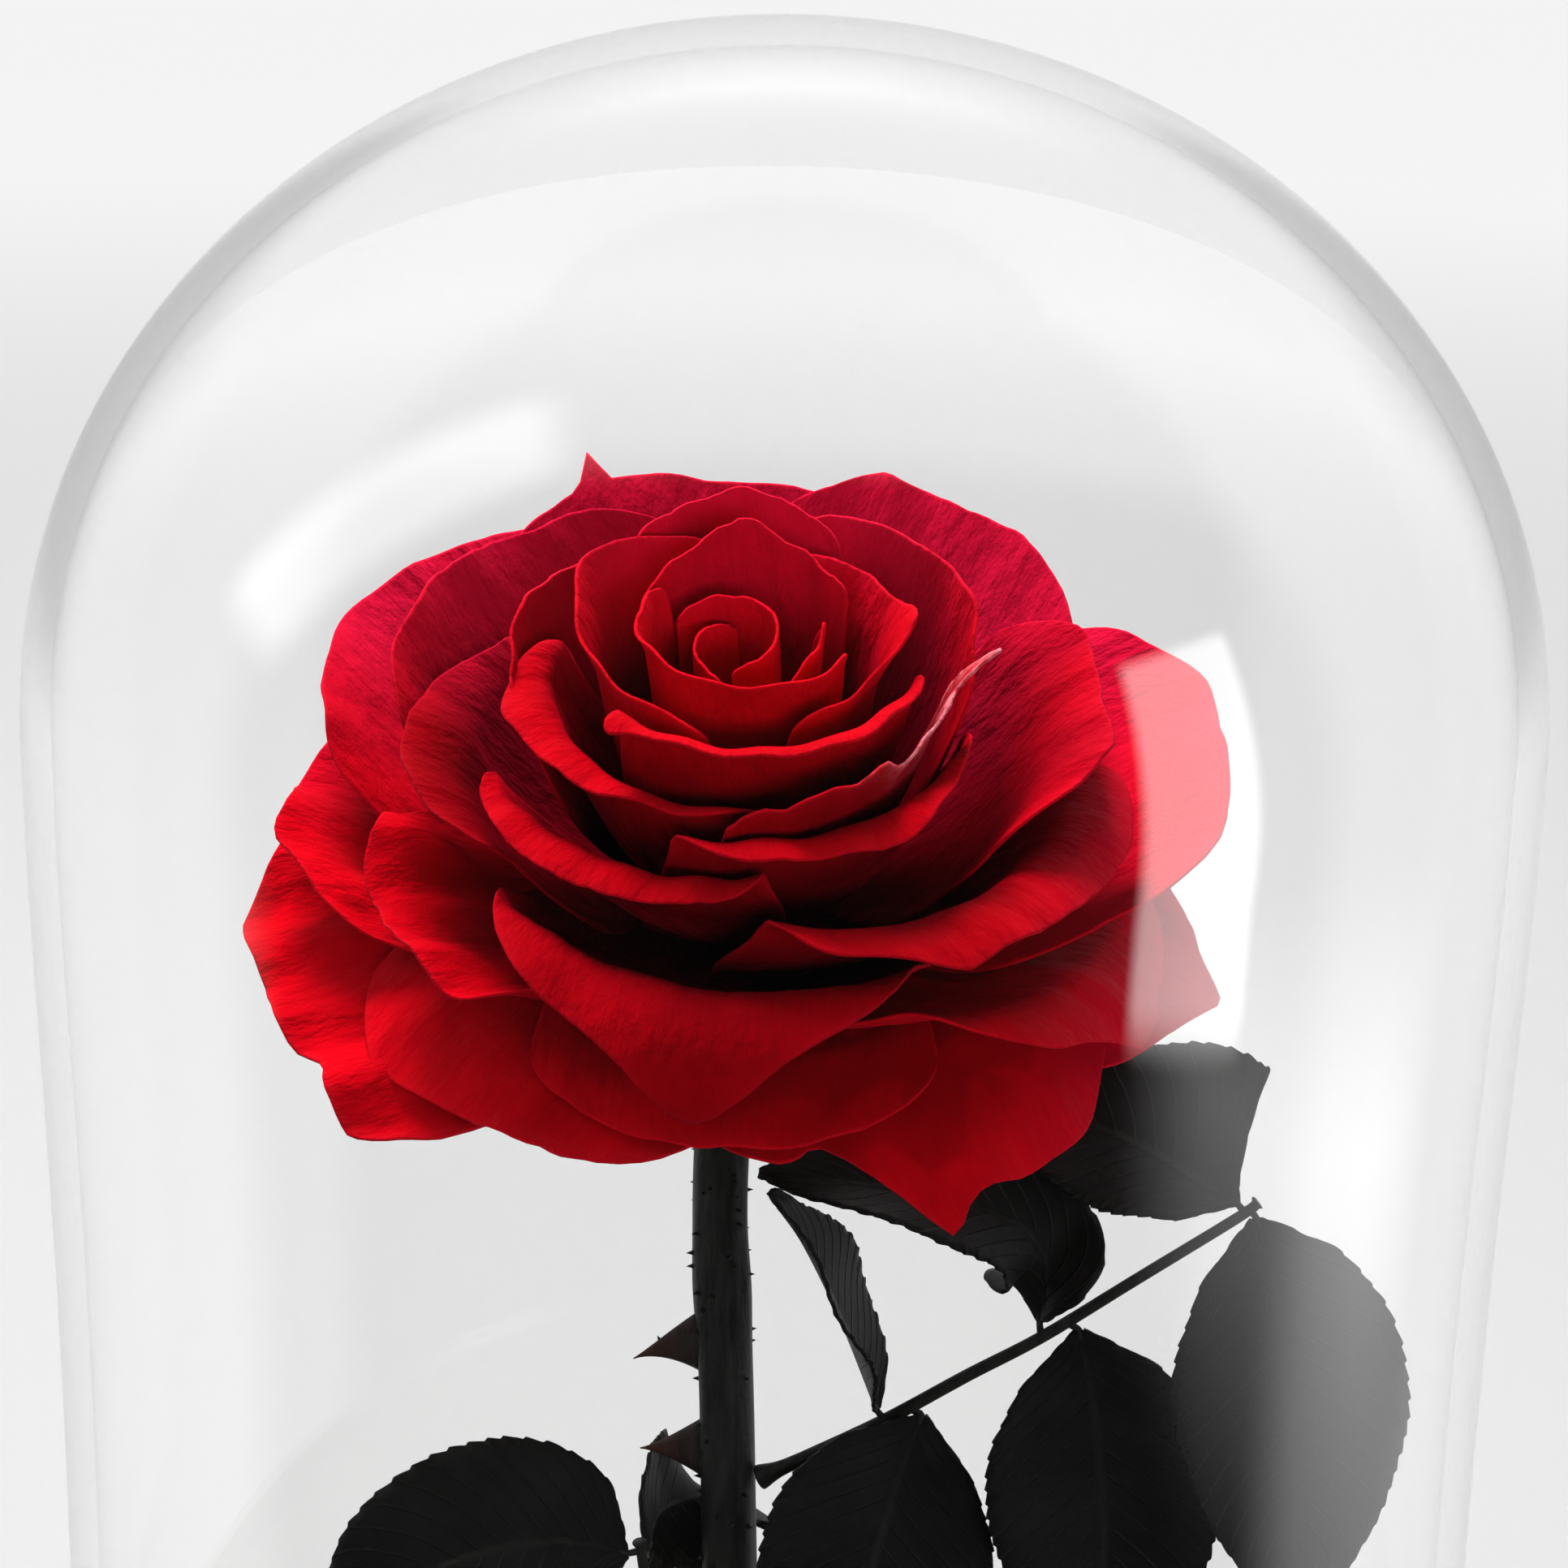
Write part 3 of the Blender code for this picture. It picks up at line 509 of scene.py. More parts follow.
# Limits that only keep sums in bounds: a share short of one, a radius that counts as none, and the depth
# of a ray that counts as bounced
JUST_UNDER_ONE = 0.999999
ON_AXIS = 1e-7
HALF_A_BOUNCE = 0.5

# Small helpers


def add_object(name, data):
    """Puts a mesh, curve, lamp or camera into the scene as an object."""
    made = bpy.data.objects.new(name, data)
    bpy.context.scene.collection.objects.link(made)
    return made


def along(points, share):
    """The point a share of the way along a smooth curve through the given points."""
    spans = len(points) - 1
    place = min(max(share, 0.0), JUST_UNDER_ONE) * spans
    index = int(place)
    local = place - index
    before = points[max(index - 1, 0)]
    start, end = points[index], points[index + 1]
    after = points[min(index + 2, spans)]
    bend = 2 * start + (end - before) * local
    bend += (2 * before - 5 * start + 4 * end - after) * local**2
    bend += (3 * start - before - 3 * end + after) * local**3
    return bend / 2


def mesh_piece(name, points, faces):
    """A new object from points in metres."""
    mesh = bpy.data.meshes.new(name)
    mesh.from_pydata([tuple(p) for p in points], [], [tuple(f) for f in faces])
    mesh.shade_smooth()
    return add_object(name, mesh)


def bmesh_piece(name, body):
    """A new object from a finished bmesh."""
    mesh = bpy.data.meshes.new(name)
    body.to_mesh(mesh)
    body.free()
    mesh.shade_smooth()
    return add_object(name, mesh)


def applied_mesh(piece):
    """The mesh that a piece's modifiers make of it. The piece itself is removed."""
    graph = bpy.context.evaluated_depsgraph_get()
    mesh = bpy.data.meshes.new_from_object(piece.evaluated_get(graph))
    bpy.data.objects.remove(piece)
    return mesh


def thicken(piece, thickness):
    """Gives a thin surface a wall, half of it on either side."""
    wall = piece.modifiers.new("thickness", "SOLIDIFY")
    wall.thickness = thickness
    wall.offset = 0


def mark_points(mesh, label, values):
    """Stores one number for each point, which a material reads under its label."""
    numbers = np.asarray(values, np.float32).reshape(-1)
    mesh.attributes.new(label, "FLOAT", "POINT").data.foreach_set("value", numbers)


def stand_for(piece, node, material=None):
    """Puts a finished piece in the place of a solid."""
    if material is not None:
        piece.data.materials.clear()
        piece.data.materials.append(material)
    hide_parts(node)
    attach(piece, BODY)
    return piece


def grid_faces(rows, columns):
    """Quads between the points of a grid."""
    index = np.arange(rows * columns).reshape(rows, columns)
    corners = (index[:-1, :-1], index[:-1, 1:], index[1:, 1:], index[1:, :-1])
    return np.stack(corners, -1).reshape(-1, 4).tolist()


def tube_faces(rings, sides):
    """Quads between closed rings of points, one after another, and a face over each end."""
    faces = []
    for ring in range(rings - 1):
        for side in range(sides):
            a, b = ring * sides + side, ring * sides + (side + 1) % sides
            faces.append((a, b, b + sides, a + sides))
    faces.append(tuple(range(sides))[::-1])
    faces.append(tuple(range((rings - 1) * sides, rings * sides)))
    return faces


def join_to(points, faces, more, more_faces):
    """Adds one more closed form to the points and faces of a mesh in the making."""
    start = len(points)
    faces += [tuple(index + start for index in face) for face in more_faces]
    points += more


def turned_piece(name, profile, sides):
    """A solid of revolution about Z. The profile runs down its outer side, from the axis to the axis."""
    body = bmesh.new()
    angles = [2 * math.pi * side / sides for side in range(sides)]
    rings = []
    for radius, height in profile:
        if radius < ON_AXIS:
            ring = [(0, 0, height)]
        else:
            ring = [(radius * math.cos(angle), radius * math.sin(angle), height) for angle in angles]
        rings.append([body.verts.new(point) for point in ring])
    for upper, lower in zip(rings, rings[1:]):
        for side in range(sides):
            after = (side + 1) % sides
            corners = [upper[side % len(upper)], lower[side % len(lower)], lower[after % len(lower)],
                       upper[after % len(upper)]]
            body.faces.new(list(dict.fromkeys(corners)))
    return bmesh_piece(name, body)


# Nodes, for materials, geometry trees, lamps and the room


def feed(tree, socket, value):
    """Joins a node's input to another node's output, or gives it a plain value."""
    if isinstance(value, bpy.types.NodeSocket):
        tree.links.new(value, socket)
    else:
        socket.default_value = value


def add_node(tree, kind, inputs=None, **settings):
    """A new node. inputs feeds its sockets, by name or number, and settings are its properties."""
    node = tree.nodes.new(kind)
    for key, value in settings.items():
        setattr(node, key, value)
    for key, value in (inputs or {}).items():
        feed(tree, node.inputs[key], value)
    return node


def add_maths(tree, operation, *values):
    return add_node(tree, "ShaderNodeMath", dict(enumerate(values)), operation=operation).outputs[0]


def smooth_step(tree, value, start, end, low=0.0, high=1.0):
    """Goes smoothly from low to high while the value goes from start to end."""
    inputs = {"Value": value, "From Min": start, "From Max": end, "To Min": low, "To Max": high}
    return add_node(tree, "ShaderNodeMapRange", inputs, interpolation_type="SMOOTHSTEP").outputs[0]


# Materials


class Recipe:
    """A material's node tree, with short ways to add and join its nodes."""

    def __init__(self, name):
        self.material = bpy.data.materials.new(name)
        self.material.use_nodes = True
        self.tree = self.material.node_tree
        self.shader = self.tree.nodes["Principled BSDF"]

    def add(self, kind, inputs=None, **settings):
        return add_node(self.tree, kind, inputs, **settings)

    def set(self, **values):
        for key, value in values.items():
            feed(self.tree, self.shader.inputs[key.replace("_", " ")], value)

    def place(self):
        """Where a point is on the whole object, in metres."""
        return self.add("ShaderNodeTexCoord").outputs["Object"]

    def flat_place(self, layer):
        """Where a point is on the piece's own flat map."""
        return self.add("ShaderNodeUVMap", uv_map=layer).outputs[0]

    def mark(self, label):
        """What the piece's points are marked with under a label."""
        return self.add("ShaderNodeAttribute", attribute_name=label).outputs["Fac"]

    def scaled(self, vector, scale):
        return self.add("ShaderNodeMapping", {"Vector": vector, "Scale": scale}).outputs[0]

    def noise(self, vector, scale, detail=3.0, roughness=0.5):
        """Scale is one number, or three for a noise that is stretched."""
        if isinstance(scale, tuple):
            vector, scale = self.scaled(vector, scale), 1.0
        inputs = {"Vector": vector, "Scale": scale, "Detail": detail, "Roughness": roughness}
        return self.add("ShaderNodeTexNoise", inputs).outputs["Fac"]

    def ramp(self, factor, *stops):
        """Stops are a place from 0 to 1 with a colour or a grey."""
        node = self.add("ShaderNodeValToRGB", {"Fac": factor})
        elements = node.color_ramp.elements
        for element, (place, colour) in zip(elements, stops):
            element.position = place
            element.color = (*colour, 1) if isinstance(colour, tuple) else (colour, colour, colour, 1)
        return node.outputs["Color"]

    def mix(self, factor, first, second, blend="MIX"):
        node = self.add("ShaderNodeMix", data_type="RGBA", blend_type=blend)
        for key, value in (("Factor", factor), ("A", first), ("B", second)):
            socket = next(s for s in node.inputs if s.name == key and s.enabled)
            feed(self.tree, socket, (*value, 1) if isinstance(value, tuple) else value)
        return next(s for s in node.outputs if s.enabled)

    def maths(self, operation, *values):
        return add_maths(self.tree, operation, *values)

    def bump(self, height, distance, strength, under=None):
        """A relief, laid over another one where one is given. Distance is in metres."""
        inputs = {"Height": height, "Distance": distance, "Strength": strength}
        if under is not None:
            inputs["Normal"] = under
        return self.add("ShaderNodeBump", inputs).outputs[0]

    def clear_where(self, factor, tint):
        """Lets light straight through in this tint where the factor is 1."""
        clear = self.add("ShaderNodeBsdfTransparent", {"Color": tint})
        either = self.add("ShaderNodeMixShader", {
            0: factor, 1: self.shader.outputs[0], 2: clear.outputs[0]})
        feed(self.tree, self.tree.nodes["Material Output"].inputs["Surface"], either.outputs[0])


def petal_material():
    """Velvety deep red, with fine lengthwise veins and creases, soft mottling, painted shade of dark
    crimson over the middle petals and in the folds under their rims, a paler rim, a painted pink glow of
    back light on the petals at the back and far right, and the bleached, frayed band of the torn one."""
    r = Recipe("velvet petal")
    flat = r.flat_place("petal")
    place = r.place()
    veins = r.noise(flat, PETAL_VEIN_GRAIN, detail=4, roughness=0.6)
    mottle = r.noise(place, PETAL_MOTTLE_GRAIN, detail=3, roughness=0.55)
    body = r.ramp(mottle, (0.3, PETAL_RED_LOW), (0.7, PETAL_RED_HIGH))
    streaked = r.mix(r.ramp(veins, (0.4, 0.0), (0.8, 0.25)), body, PETAL_VEIN)
    # Painted shade: dark crimson laid over the middle petals and in the folds under their rims
    deep = r.mix(r.mark("depth"), streaked, PETAL_PAINTED_SHADE)
    # Painted pink glow of back light on the petals at the back and far right
    with_painted_glow = r.mix(r.mark("blush"), deep, PETAL_PAINTED_GLOW)
    edge = r.mix(r.maths("MULTIPLY", r.mark("rim"), RIM_PALENESS), with_painted_glow, PETAL_RIM)
    frayed = r.ramp(r.noise(place, PETAL_FRAY_GRAIN, detail=3), (0.35, 0.2), (0.6, 1.0))
    bleached = r.mix(r.maths("MULTIPLY", r.mark("worn"), frayed), edge, PETAL_BLEACHED)
    folds = r.noise(flat, PETAL_CREASE_GRAIN, detail=4, roughness=0.55)
    creases = r.bump(folds, PETAL_CREASE_DEPTH, strength=0.45)
    veined = r.bump(veins, PETAL_VEIN_DEPTH, strength=0.3, under=creases)
    fuzz = r.bump(r.noise(place, PETAL_FUZZ_GRAIN, detail=2), PETAL_FUZZ_DEPTH, strength=0.5, under=veined)
    r.set(Base_Color=bleached, Roughness=0.7, Normal=fuzz, Sheen_Weight=0.12, Sheen_Roughness=0.4,
          Sheen_Tint=PETAL_SHEEN, Specular_IOR_Level=0.12, Specular_Tint=PETAL_GLOSS)
    return r.material


def leaf_material():
    """Nearly black dried leaf with pinnate veins. Its flat map is -1 to 1 across and 0 to 1 along."""
    r = Recipe("dried leaf")
    place = r.place()
    split = r.add("ShaderNodeSeparateXYZ", {0: r.flat_place("leaf")})
    across = r.maths("ABSOLUTE", split.outputs[0])
    ahead = r.maths("SUBTRACT", r.maths("MULTIPLY", split.outputs[1], LEAF_VEINS),
                    r.maths("MULTIPLY", across, LEAF_VEIN_SLANT))
    beat = r.maths("ABSOLUTE", r.maths("SUBTRACT", r.maths("FRACT", ahead), 0.5))
    side_veins = r.ramp(beat, (0.0, 1.0), (LEAF_VEIN_WIDTH, 0.0))
    midrib = r.ramp(across, (0.0, 1.0), (LEAF_MIDRIB_WIDTH, 0.0))
    veins = r.mix(1.0, side_veins, midrib, "LIGHTEN")
    mottle = r.noise(place, LEAF_MOTTLE_GRAIN, detail=4, roughness=0.6)
    blade = r.ramp(mottle, (0.3, LEAF_LOW), (0.75, LEAF_HIGH))
    colour = r.mix(r.maths("MULTIPLY", veins, LEAF_VEIN_PALENESS), blade, LEAF_VEIN)
    raised = r.bump(veins, LEAF_VEIN_HEIGHT, strength=0.7)
    net = r.bump(r.noise(place, LEAF_NET_GRAIN, detail=3), LEAF_NET_DEPTH, strength=0.6, under=raised)
    r.set(Base_Color=colour, Roughness=0.55, Normal=net, Specular_IOR_Level=0.22)
    return r.material


def bark_material():
    """Near-black stem, streaked lengthwise, with browner thorns."""
    r = Recipe("dark stem")
    place = r.place()
    streaks = r.noise(place, BARK_STREAK_GRAIN, detail=4, roughness=0.6)
    body = r.ramp(streaks, (0.3, BARK_LOW), (0.75, BARK_HIGH))
    colour = r.mix(r.mark("thorn"), body, THORN_BROWN)
    grooved = r.bump(streaks, BARK_RELIEF_DEPTH, strength=0.6)
    relief = r.bump(r.noise(place, BARK_GRAIN, detail=3), BARK_RELIEF_DEPTH, strength=0.5, under=grooved)
    r.set(Base_Color=colour, Roughness=0.5, Normal=relief, Specular_IOR_Level=0.25)
    return r.material


def calyx_material():
    """Dried green-brown calyx with soft mottling."""
    r = Recipe("dried calyx")
    mottle = r.noise(r.place(), CALYX_GRAIN, detail=4)
    colour = r.ramp(mottle, (0.3, CALYX_LOW), (0.75, CALYX_HIGH))
    r.set(Base_Color=colour, Roughness=0.6, Normal=r.bump(mottle, CALYX_RELIEF_DEPTH, strength=0.6))
    return r.material


def glass_material():
    """Clear glass that lets the lamps through to what is under it."""
    r = Recipe("clear dome glass")
    r.set(Base_Color=WHITE, Roughness=0.0, IOR=GLASS_INDEX, Transmission_Weight=1.0)
    r.clear_where(r.add("ShaderNodeLightPath").outputs["Is Shadow Ray"], GLASS_SHADOW)
    return r.material


def wood_material():
    """Dark stained wood, its grain running along X through the turned plate."""
    r = Recipe("dark stained wood")
    place = r.place()
    grain = {"Vector": r.scaled(place, WOOD_BAND_SQUEEZE), "Scale": 1.3, "Distortion": 5.0,
             "Detail": 3.0, "Detail Scale": 1.2}
    bands = r.add("ShaderNodeTexWave", grain, bands_direction="Y").outputs["Fac"]
    pores = r.noise(place, WOOD_PORE_GRAIN, detail=3, roughness=0.6)
    body = r.ramp(bands, (0.1, WOOD_LOW), (0.9, WOOD_HIGH))
    toned = r.mix(r.noise(place, WOOD_DRIFT_GRAIN, detail=3), body, WOOD_DRIFT)
    colour = r.mix(r.ramp(pores, (0.55, 0.0), (0.7, 0.7)), toned, WOOD_PORE)
    sunk = r.bump(pores, WOOD_PORE_DEPTH, strength=0.4)
    r.set(Base_Color=colour, Roughness=0.38, Normal=sunk, Coat_Weight=0.25, Coat_Roughness=0.2)
    return r.material


def dome_radius(height, shrink=0.0):
    """Radius of the glass at a height under its head, which swells a little over the straight wall."""
    drop = (height - DOME_HEAD_HEIGHT) / DOME_SWELL_LENGTH
    swell = (DOME_HEAD_RADIUS - DOME_WALL_RADIUS) * math.exp(-drop * drop)
    return DOME_WALL_RADIUS + swell - shrink


def make_dome(material):
    """Two faces of blown glass that meet in a rounded rim."""
    lip = GLASS_THICKNESS / 2
    foot = BASE_HEIGHT - GROOVE_DEPTH + DOME_FOOT_GAP + lip

    def face(shrink):
        points = []
        for step in range(DOME_HEAD_STEPS):
            angle = math.pi / 2 * (1 - step / DOME_HEAD_STEPS)
            radius = (DOME_HEAD_RADIUS - shrink) * math.cos(angle)
            points.append((radius, DOME_HEAD_HEIGHT + (DOME_HEAD_RISE - shrink) * math.sin(angle)))
        points[0] = (0, points[0][1])
        for step in range(DOME_WALL_STEPS + 1):
            height = DOME_HEAD_HEIGHT + (foot - DOME_HEAD_HEIGHT) * step / DOME_WALL_STEPS
            points.append((dome_radius(height, shrink), height))
        return points

    middle = dome_radius(foot) - lip
    rim = []
    for step in range(1, DOME_LIP_STEPS):
        angle = math.pi * step / DOME_LIP_STEPS
        rim.append((middle + lip * math.cos(angle), foot - lip * math.sin(angle)))
    dome = turned_piece("blown_glass_dome", face(0) + rim + face(GLASS_THICKNESS)[::-1], DOME_SIDES)
    return stand_for(dome, "glass_dome", material)


def make_base(material):
    """A turned plate: flat top with the groove for the glass, a stepped and rounded edge, a drawn-in
    foot."""
    rim = dome_radius(BASE_HEIGHT)
    groove_in = rim - GLASS_THICKNESS - GROOVE_PLAY
    groove_out = rim + GROOVE_PLAY
    top, soft = BASE_HEIGHT, BASE_SOFT_EDGE
    shelf = top - BASE_STEP_DEPTH
    profile = [(0, top - STEM_HOLE_DEPTH), (STEM_HOLE_RADIUS, top - STEM_HOLE_DEPTH),
               (STEM_HOLE_RADIUS, top - soft), (STEM_HOLE_RADIUS + soft, top),
               (groove_in - soft, top), (groove_in, top - soft), (groove_in, top - GROOVE_DEPTH),
               (groove_out, top - GROOVE_DEPTH), (groove_out, top - soft), (groove_out + soft, top)]
    profile += [(BASE_STEP_RADIUS - inward, top - down) for inward, down in BASE_STEP_ROUND]
    profile += [(BASE_STEP_RADIUS + out, shelf + up) for out, up in BASE_COVE]
    middle = shelf / 2
    for step in range(BASE_BULGE_STEPS + 1):
        angle = math.radians(BASE_BULGE_REACH - 2 * BASE_BULGE_REACH / BASE_BULGE_STEPS * step)
        bulge = (BASE_RADIUS - BASE_STEP_RADIUS - BASE_COVE_WIDTH) * math.cos(angle)
        height = middle + middle * BASE_BULGE_HEIGHT * math.sin(angle)
        profile.append((BASE_STEP_RADIUS + BASE_COVE_WIDTH + bulge, height))
    foot = BASE_RADIUS - BASE_FOOT_INSET
    profile += [(foot, BASE_FOOT_SOFT), (foot - BASE_FOOT_SOFT, 0), (0, 0)]
    base = turned_piece("turned_wooden_base", profile, BASE_SIDES)
    base.data.set_sharp_from_angle(angle=math.radians(BASE_SHARP_ANGLE))
    return stand_for(base, "base", material)


# Petals


def layer_value(layer, pick):
    """A number of the table of layers, for a layer that lies between its rows."""
    places = [row[0] for row in LAYERS]
    return np.interp(layer, places, [pick(row) for row in LAYERS])


def layer_angle(layer, distance):
    """Direction of a layer's curve, from the flower's axis, at a distance along it."""
    x = np.clip(distance / REACH, 0, BEYOND_REACH)
    angle = 0
    for k in range(4):
        control = layer_value(layer, lambda row: row[3][k])
        angle = angle + math.comb(3, k) * x**k * (1 - x) ** (3 - k) * control
    return np.radians(angle)


def follow(layer, start, end, extra=None):
    """How far out and up a layer's curve goes between two distances along it. extra turns it outwards."""
    out = up = 0.0
    span = (end - start) / FOLLOW_STEPS
    for step in range(FOLLOW_STEPS):
        distance = start + span * (step + 0.5)
        angle = layer_angle(layer, distance)
        if extra is not None:
            angle = angle + extra(distance)
        out = out + np.sin(angle) * span
        up = up + np.cos(angle) * span
    return out, up


def layer_place(layer, distance):
    """Radius and height of a layer's curve at a distance along it."""
    out, up = follow(layer, 0, distance)
    return layer_value(layer, lambda row: row[1]) + out, layer_value(layer, lambda row: row[2]) + up


def soft_noise(seed, x, y, count=7):
    """Smooth seeded noise of about -1 to 1 from a few sine waves."""
    chance = np.random.default_rng(seed)
    total = 0
    for _ in range(count):
        fx, fy = chance.normal(0, 1, 2)
        total = total + np.sin(fx * x + fy * y + chance.uniform(0, 2 * math.pi))
    return total / math.sqrt(count)


def tears(seed, across):
    """Uneven outline of a rim, coarse and fine."""
    coarse = soft_noise(seed + TEAR_SEED, across * TEARS_COARSE, 0 * across, TEAR_WAVES)
    fine = soft_noise(seed + TEAR_SEED + 1, across * TEARS_FINE, 0 * across, TEAR_WAVES)
    return coarse + TEARS_FINE_SHARE * fine


def dents(seed, flat_x, flat_y):
    """Relief of a crumpled face, as two noises: wide soft dents and finer ones."""
    wide = soft_noise(seed, flat_x / DENT_WIDTH, flat_y / DENT_LENGTH)
    fine = soft_noise(seed + FINE_DENT_SEED, flat_x / FINE_DENT_WIDTH, flat_y / FINE_DENT_LENGTH)
    return wide, fine


def petal_surface(petal, seed):
    """Points of the petal's middle surface in the head's frame, its flat coordinates and the share of its
    length at each point."""
    u = np.linspace(0, 1, PETAL_ROWS)[:, None]
    u = EVEN_ROWS * u + (1 - EVEN_ROWS) * (1 - (1 - u) ** ROW_CROWDING)
    w = np.linspace(-1, 1, PETAL_COLUMNS)[None, :]
    v = (1 - EVEN_COLUMNS) * np.sin(np.pi / 2 * w) + EVEN_COLUMNS * w
    corner = np.clip(1 - np.abs(v) ** CORNER_ROUNDNESS, 0, 1) ** (1 / CORNER_ROUNDNESS)
    claw = PETAL_ROOT_WIDTH / petal.width
    spread = claw + (1 - claw) * np.sin(np.pi / 2 * np.clip(u / WIDEST_AT, 0, 1)) ** CLAW_SLIMNESS
    distance = petal.length * u * (1 - petal.shoulder + petal.shoulder * corner) + petal.skew * v * u * u
    for place, height, width in petal.tips:
        distance = distance + height * u**TIP_RISE * np.exp(-((np.abs(v - place) / width) ** TIP_SHARPNESS))
    distance = distance + petal.ragged * tears(seed, v) * u**TEAR_RISE
    distance = np.clip(distance, 0, REACH)
    layer = np.clip(petal.layer + petal.twist * v * np.clip(TWIST_RISE * u, 0, 1), 0, 1)
    middle_radius = np.maximum(layer_place(petal.layer, distance)[0], LEAST_RADIUS)
    flat_x = petal.width / 2 * v * spread
    turn = math.radians(petal.turn) + flat_x / middle_radius
    roll_start = petal.length * petal.roll_from
    roll_span = petal.length - roll_start

    def rolled(place):
        return math.radians(petal.roll) * np.clip((place - roll_start) / roll_span, 0, 2) ** ROLL_RISE

    straight = np.minimum(distance, roll_start)
    radius, height = layer_place(layer, straight)
    out, up = follow(layer, straight, distance, rolled)
    angle = layer_angle(layer, distance) + rolled(distance)
    ripple = petal.wave * np.sin(2 * np.pi * v) * u**WAVE_RISE
    waves, count = petal.frill
    ripple = ripple + waves * np.sin(count * np.pi * v + seed) * u**FRILL_RISE
    wide, fine = dents(seed, flat_x, distance)
    ripple = ripple + petal.crumple * wide * u**DENT_RISE
    ripple = ripple + FINE_DENT_SHARE * petal.crumple * fine * u**DENT_RISE
    for place, depth, width in petal.pleats:
        ripple = ripple + depth * u**2 * np.exp(-(((v - place) / width) ** 2))
    radius = radius + out + ripple * np.cos(angle)
    height = height + up - ripple * np.sin(angle)
    turn = turn + 0 * radius
    right, back = petal.lean
    x = radius * np.cos(turn) + right * u**2
    y = radius * np.sin(turn) + back * u**2
    points = np.stack([x, y, height], -1)
    return points, flat_x + 0 * distance, distance, u + 0 * distance


def petal_marks(petal, points, flat_x, flat_y, share):
    """What the material reads at each point, from 0 to 1: the rim, the painted pink glow of back light,
    bleached bands and painted shade."""
    from_rim = flat_y[-1][None, :] - flat_y
    from_side = np.abs(flat_x[:, -1])[:, None] - np.abs(flat_x)
    side = np.exp(-from_side / RIM_WIDTH) * np.clip(share * 2 - SIDE_RIM_START, 0, 1)
    rim = np.clip(np.maximum(np.exp(-from_rim / RIM_WIDTH), side), 0, 1)
    # Painted pink glow of back light on the petals towards the back and the far right
    facing_back = points[..., 1] / PAINTED_GLOW_BACK_REACH + PAINTED_GLOW_BACK_START
    facing_right = points[..., 0] / PAINTED_GLOW_RIGHT_REACH - PAINTED_GLOW_RIGHT_START
    blush = PAINTED_GLOW * np.clip(np.maximum(facing_back, facing_right), 0, 1) ** PAINTED_GLOW_RISE
    worn = 0 * rim
    for place, depth, width in petal.worn:
        across = flat_x / np.abs(flat_x[:, -1:])
        worn = worn + np.exp(-(((across - place) / width) ** 2)) * np.exp(-from_rim / depth)
    # Painted shade: darker away from the rim towards the root, where the petals lie in each other's shade,
    # and over the middle layers
    down = np.clip((PAINTED_SHADE_RIM - share) / PAINTED_SHADE_FADE, 0, 1)
    folds = np.interp(petal.layer, PAINTED_SHADE_LAYERS, PAINTED_FOLD_SHADE) * down
    depth = np.clip(np.interp(petal.layer, PAINTED_SHADE_LAYERS, PAINTED_SHADE_SHARES) + folds + petal.deep, 0, 1)
    return {"rim": rim, "blush": blush, "worn": np.clip(worn, 0, 1), "depth": depth}


def make_petal(petal, seed, head, material):
    """A rolled, rippled petal on its layer of the bloom, with its flat map in millimetres."""
    points, flat_x, flat_y, share = petal_surface(petal, seed)
    matrix = np.array(head)
    placed = points.reshape(-1, 3) * MM @ matrix[:3, :3].T + matrix[:3, 3]
    piece = mesh_piece(petal.name + "_velvet", placed, grid_faces(*share.shape))
    mesh = piece.data
    corner_points = np.empty(len(mesh.loops), int)
    mesh.loops.foreach_get("vertex_index", corner_points)
    flat = np.stack([flat_x.reshape(-1), flat_y.reshape(-1)], -1)[corner_points]
    mesh.uv_layers.new(name="petal").data.foreach_set("uv", flat.reshape(-1).astype(np.float32))
    for label, values in petal_marks(petal, points, flat_x, flat_y, share).items():
        mark_points(mesh, label, values)
    thicken(piece, PETAL_THICKNESS)
    return stand_for(piece, petal.name, material)


# Receptacle and sepals


def sepal_mesh(number, turn):
    """One long pointed sepal with a notched edge, which hangs down beside the stem."""
    line = [Vector((radius, 0, height)) for radius, height in SEPAL_LINE]
    points = []
    for row in range(SEPAL_ROWS):
        share = row / (SEPAL_ROWS - 1)
        notch = 1
        if share > SEPAL_NOTCH_FROM:
            notch += SEPAL_NOTCH * math.sin(share * SEPAL_NOTCH_WAVES + number)
        width = SEPAL_WIDTH / 2 * (1 - share) ** SEPAL_TAPER * notch + SEPAL_TIP_WIDTH
        for column in range(SEPAL_COLUMNS):
            across = 2 * column / (SEPAL_COLUMNS - 1) - 1
            swing = SEPAL_SWING * math.sin(share * SEPAL_SWING_WAVES + across * 2 + number)
            curl = -SEPAL_CUP * abs(across) ** SEPAL_CUP_RISE + swing
            aside = Vector((curl * share, width * across, -SEPAL_CUP * across * across))
            points.append((along(line, share) + aside) * MM)
    sepal = mesh_piece("sepal", points, grid_faces(SEPAL_ROWS, SEPAL_COLUMNS))
    thicken(sepal, SEPAL_THICKNESS)
    mesh = applied_mesh(sepal)
    mesh.transform(Matrix.Rotation(math.radians(turn), 4, "Z"))
    return mesh


def make_calyx(head, material):
    """The hip under the petals with its sepals."""
    profile = [(radius * MM, height * MM) for radius, height in RECEPTACLE[::-1]]
    hip = turned_piece("calyx_hip", profile, HIP_SIDES)
    body = bmesh.new()
    body.from_mesh(hip.data)
    bpy.data.objects.remove(hip)
    for number, turn in enumerate(SEPAL_TURNS):
        body.from_mesh(sepal_mesh(number, turn))
    piece = bmesh_piece("calyx_with_sepals", body)
    piece.data.transform(head)
    return stand_for(piece, "calyx", material)


# Stem, thorns and stalks


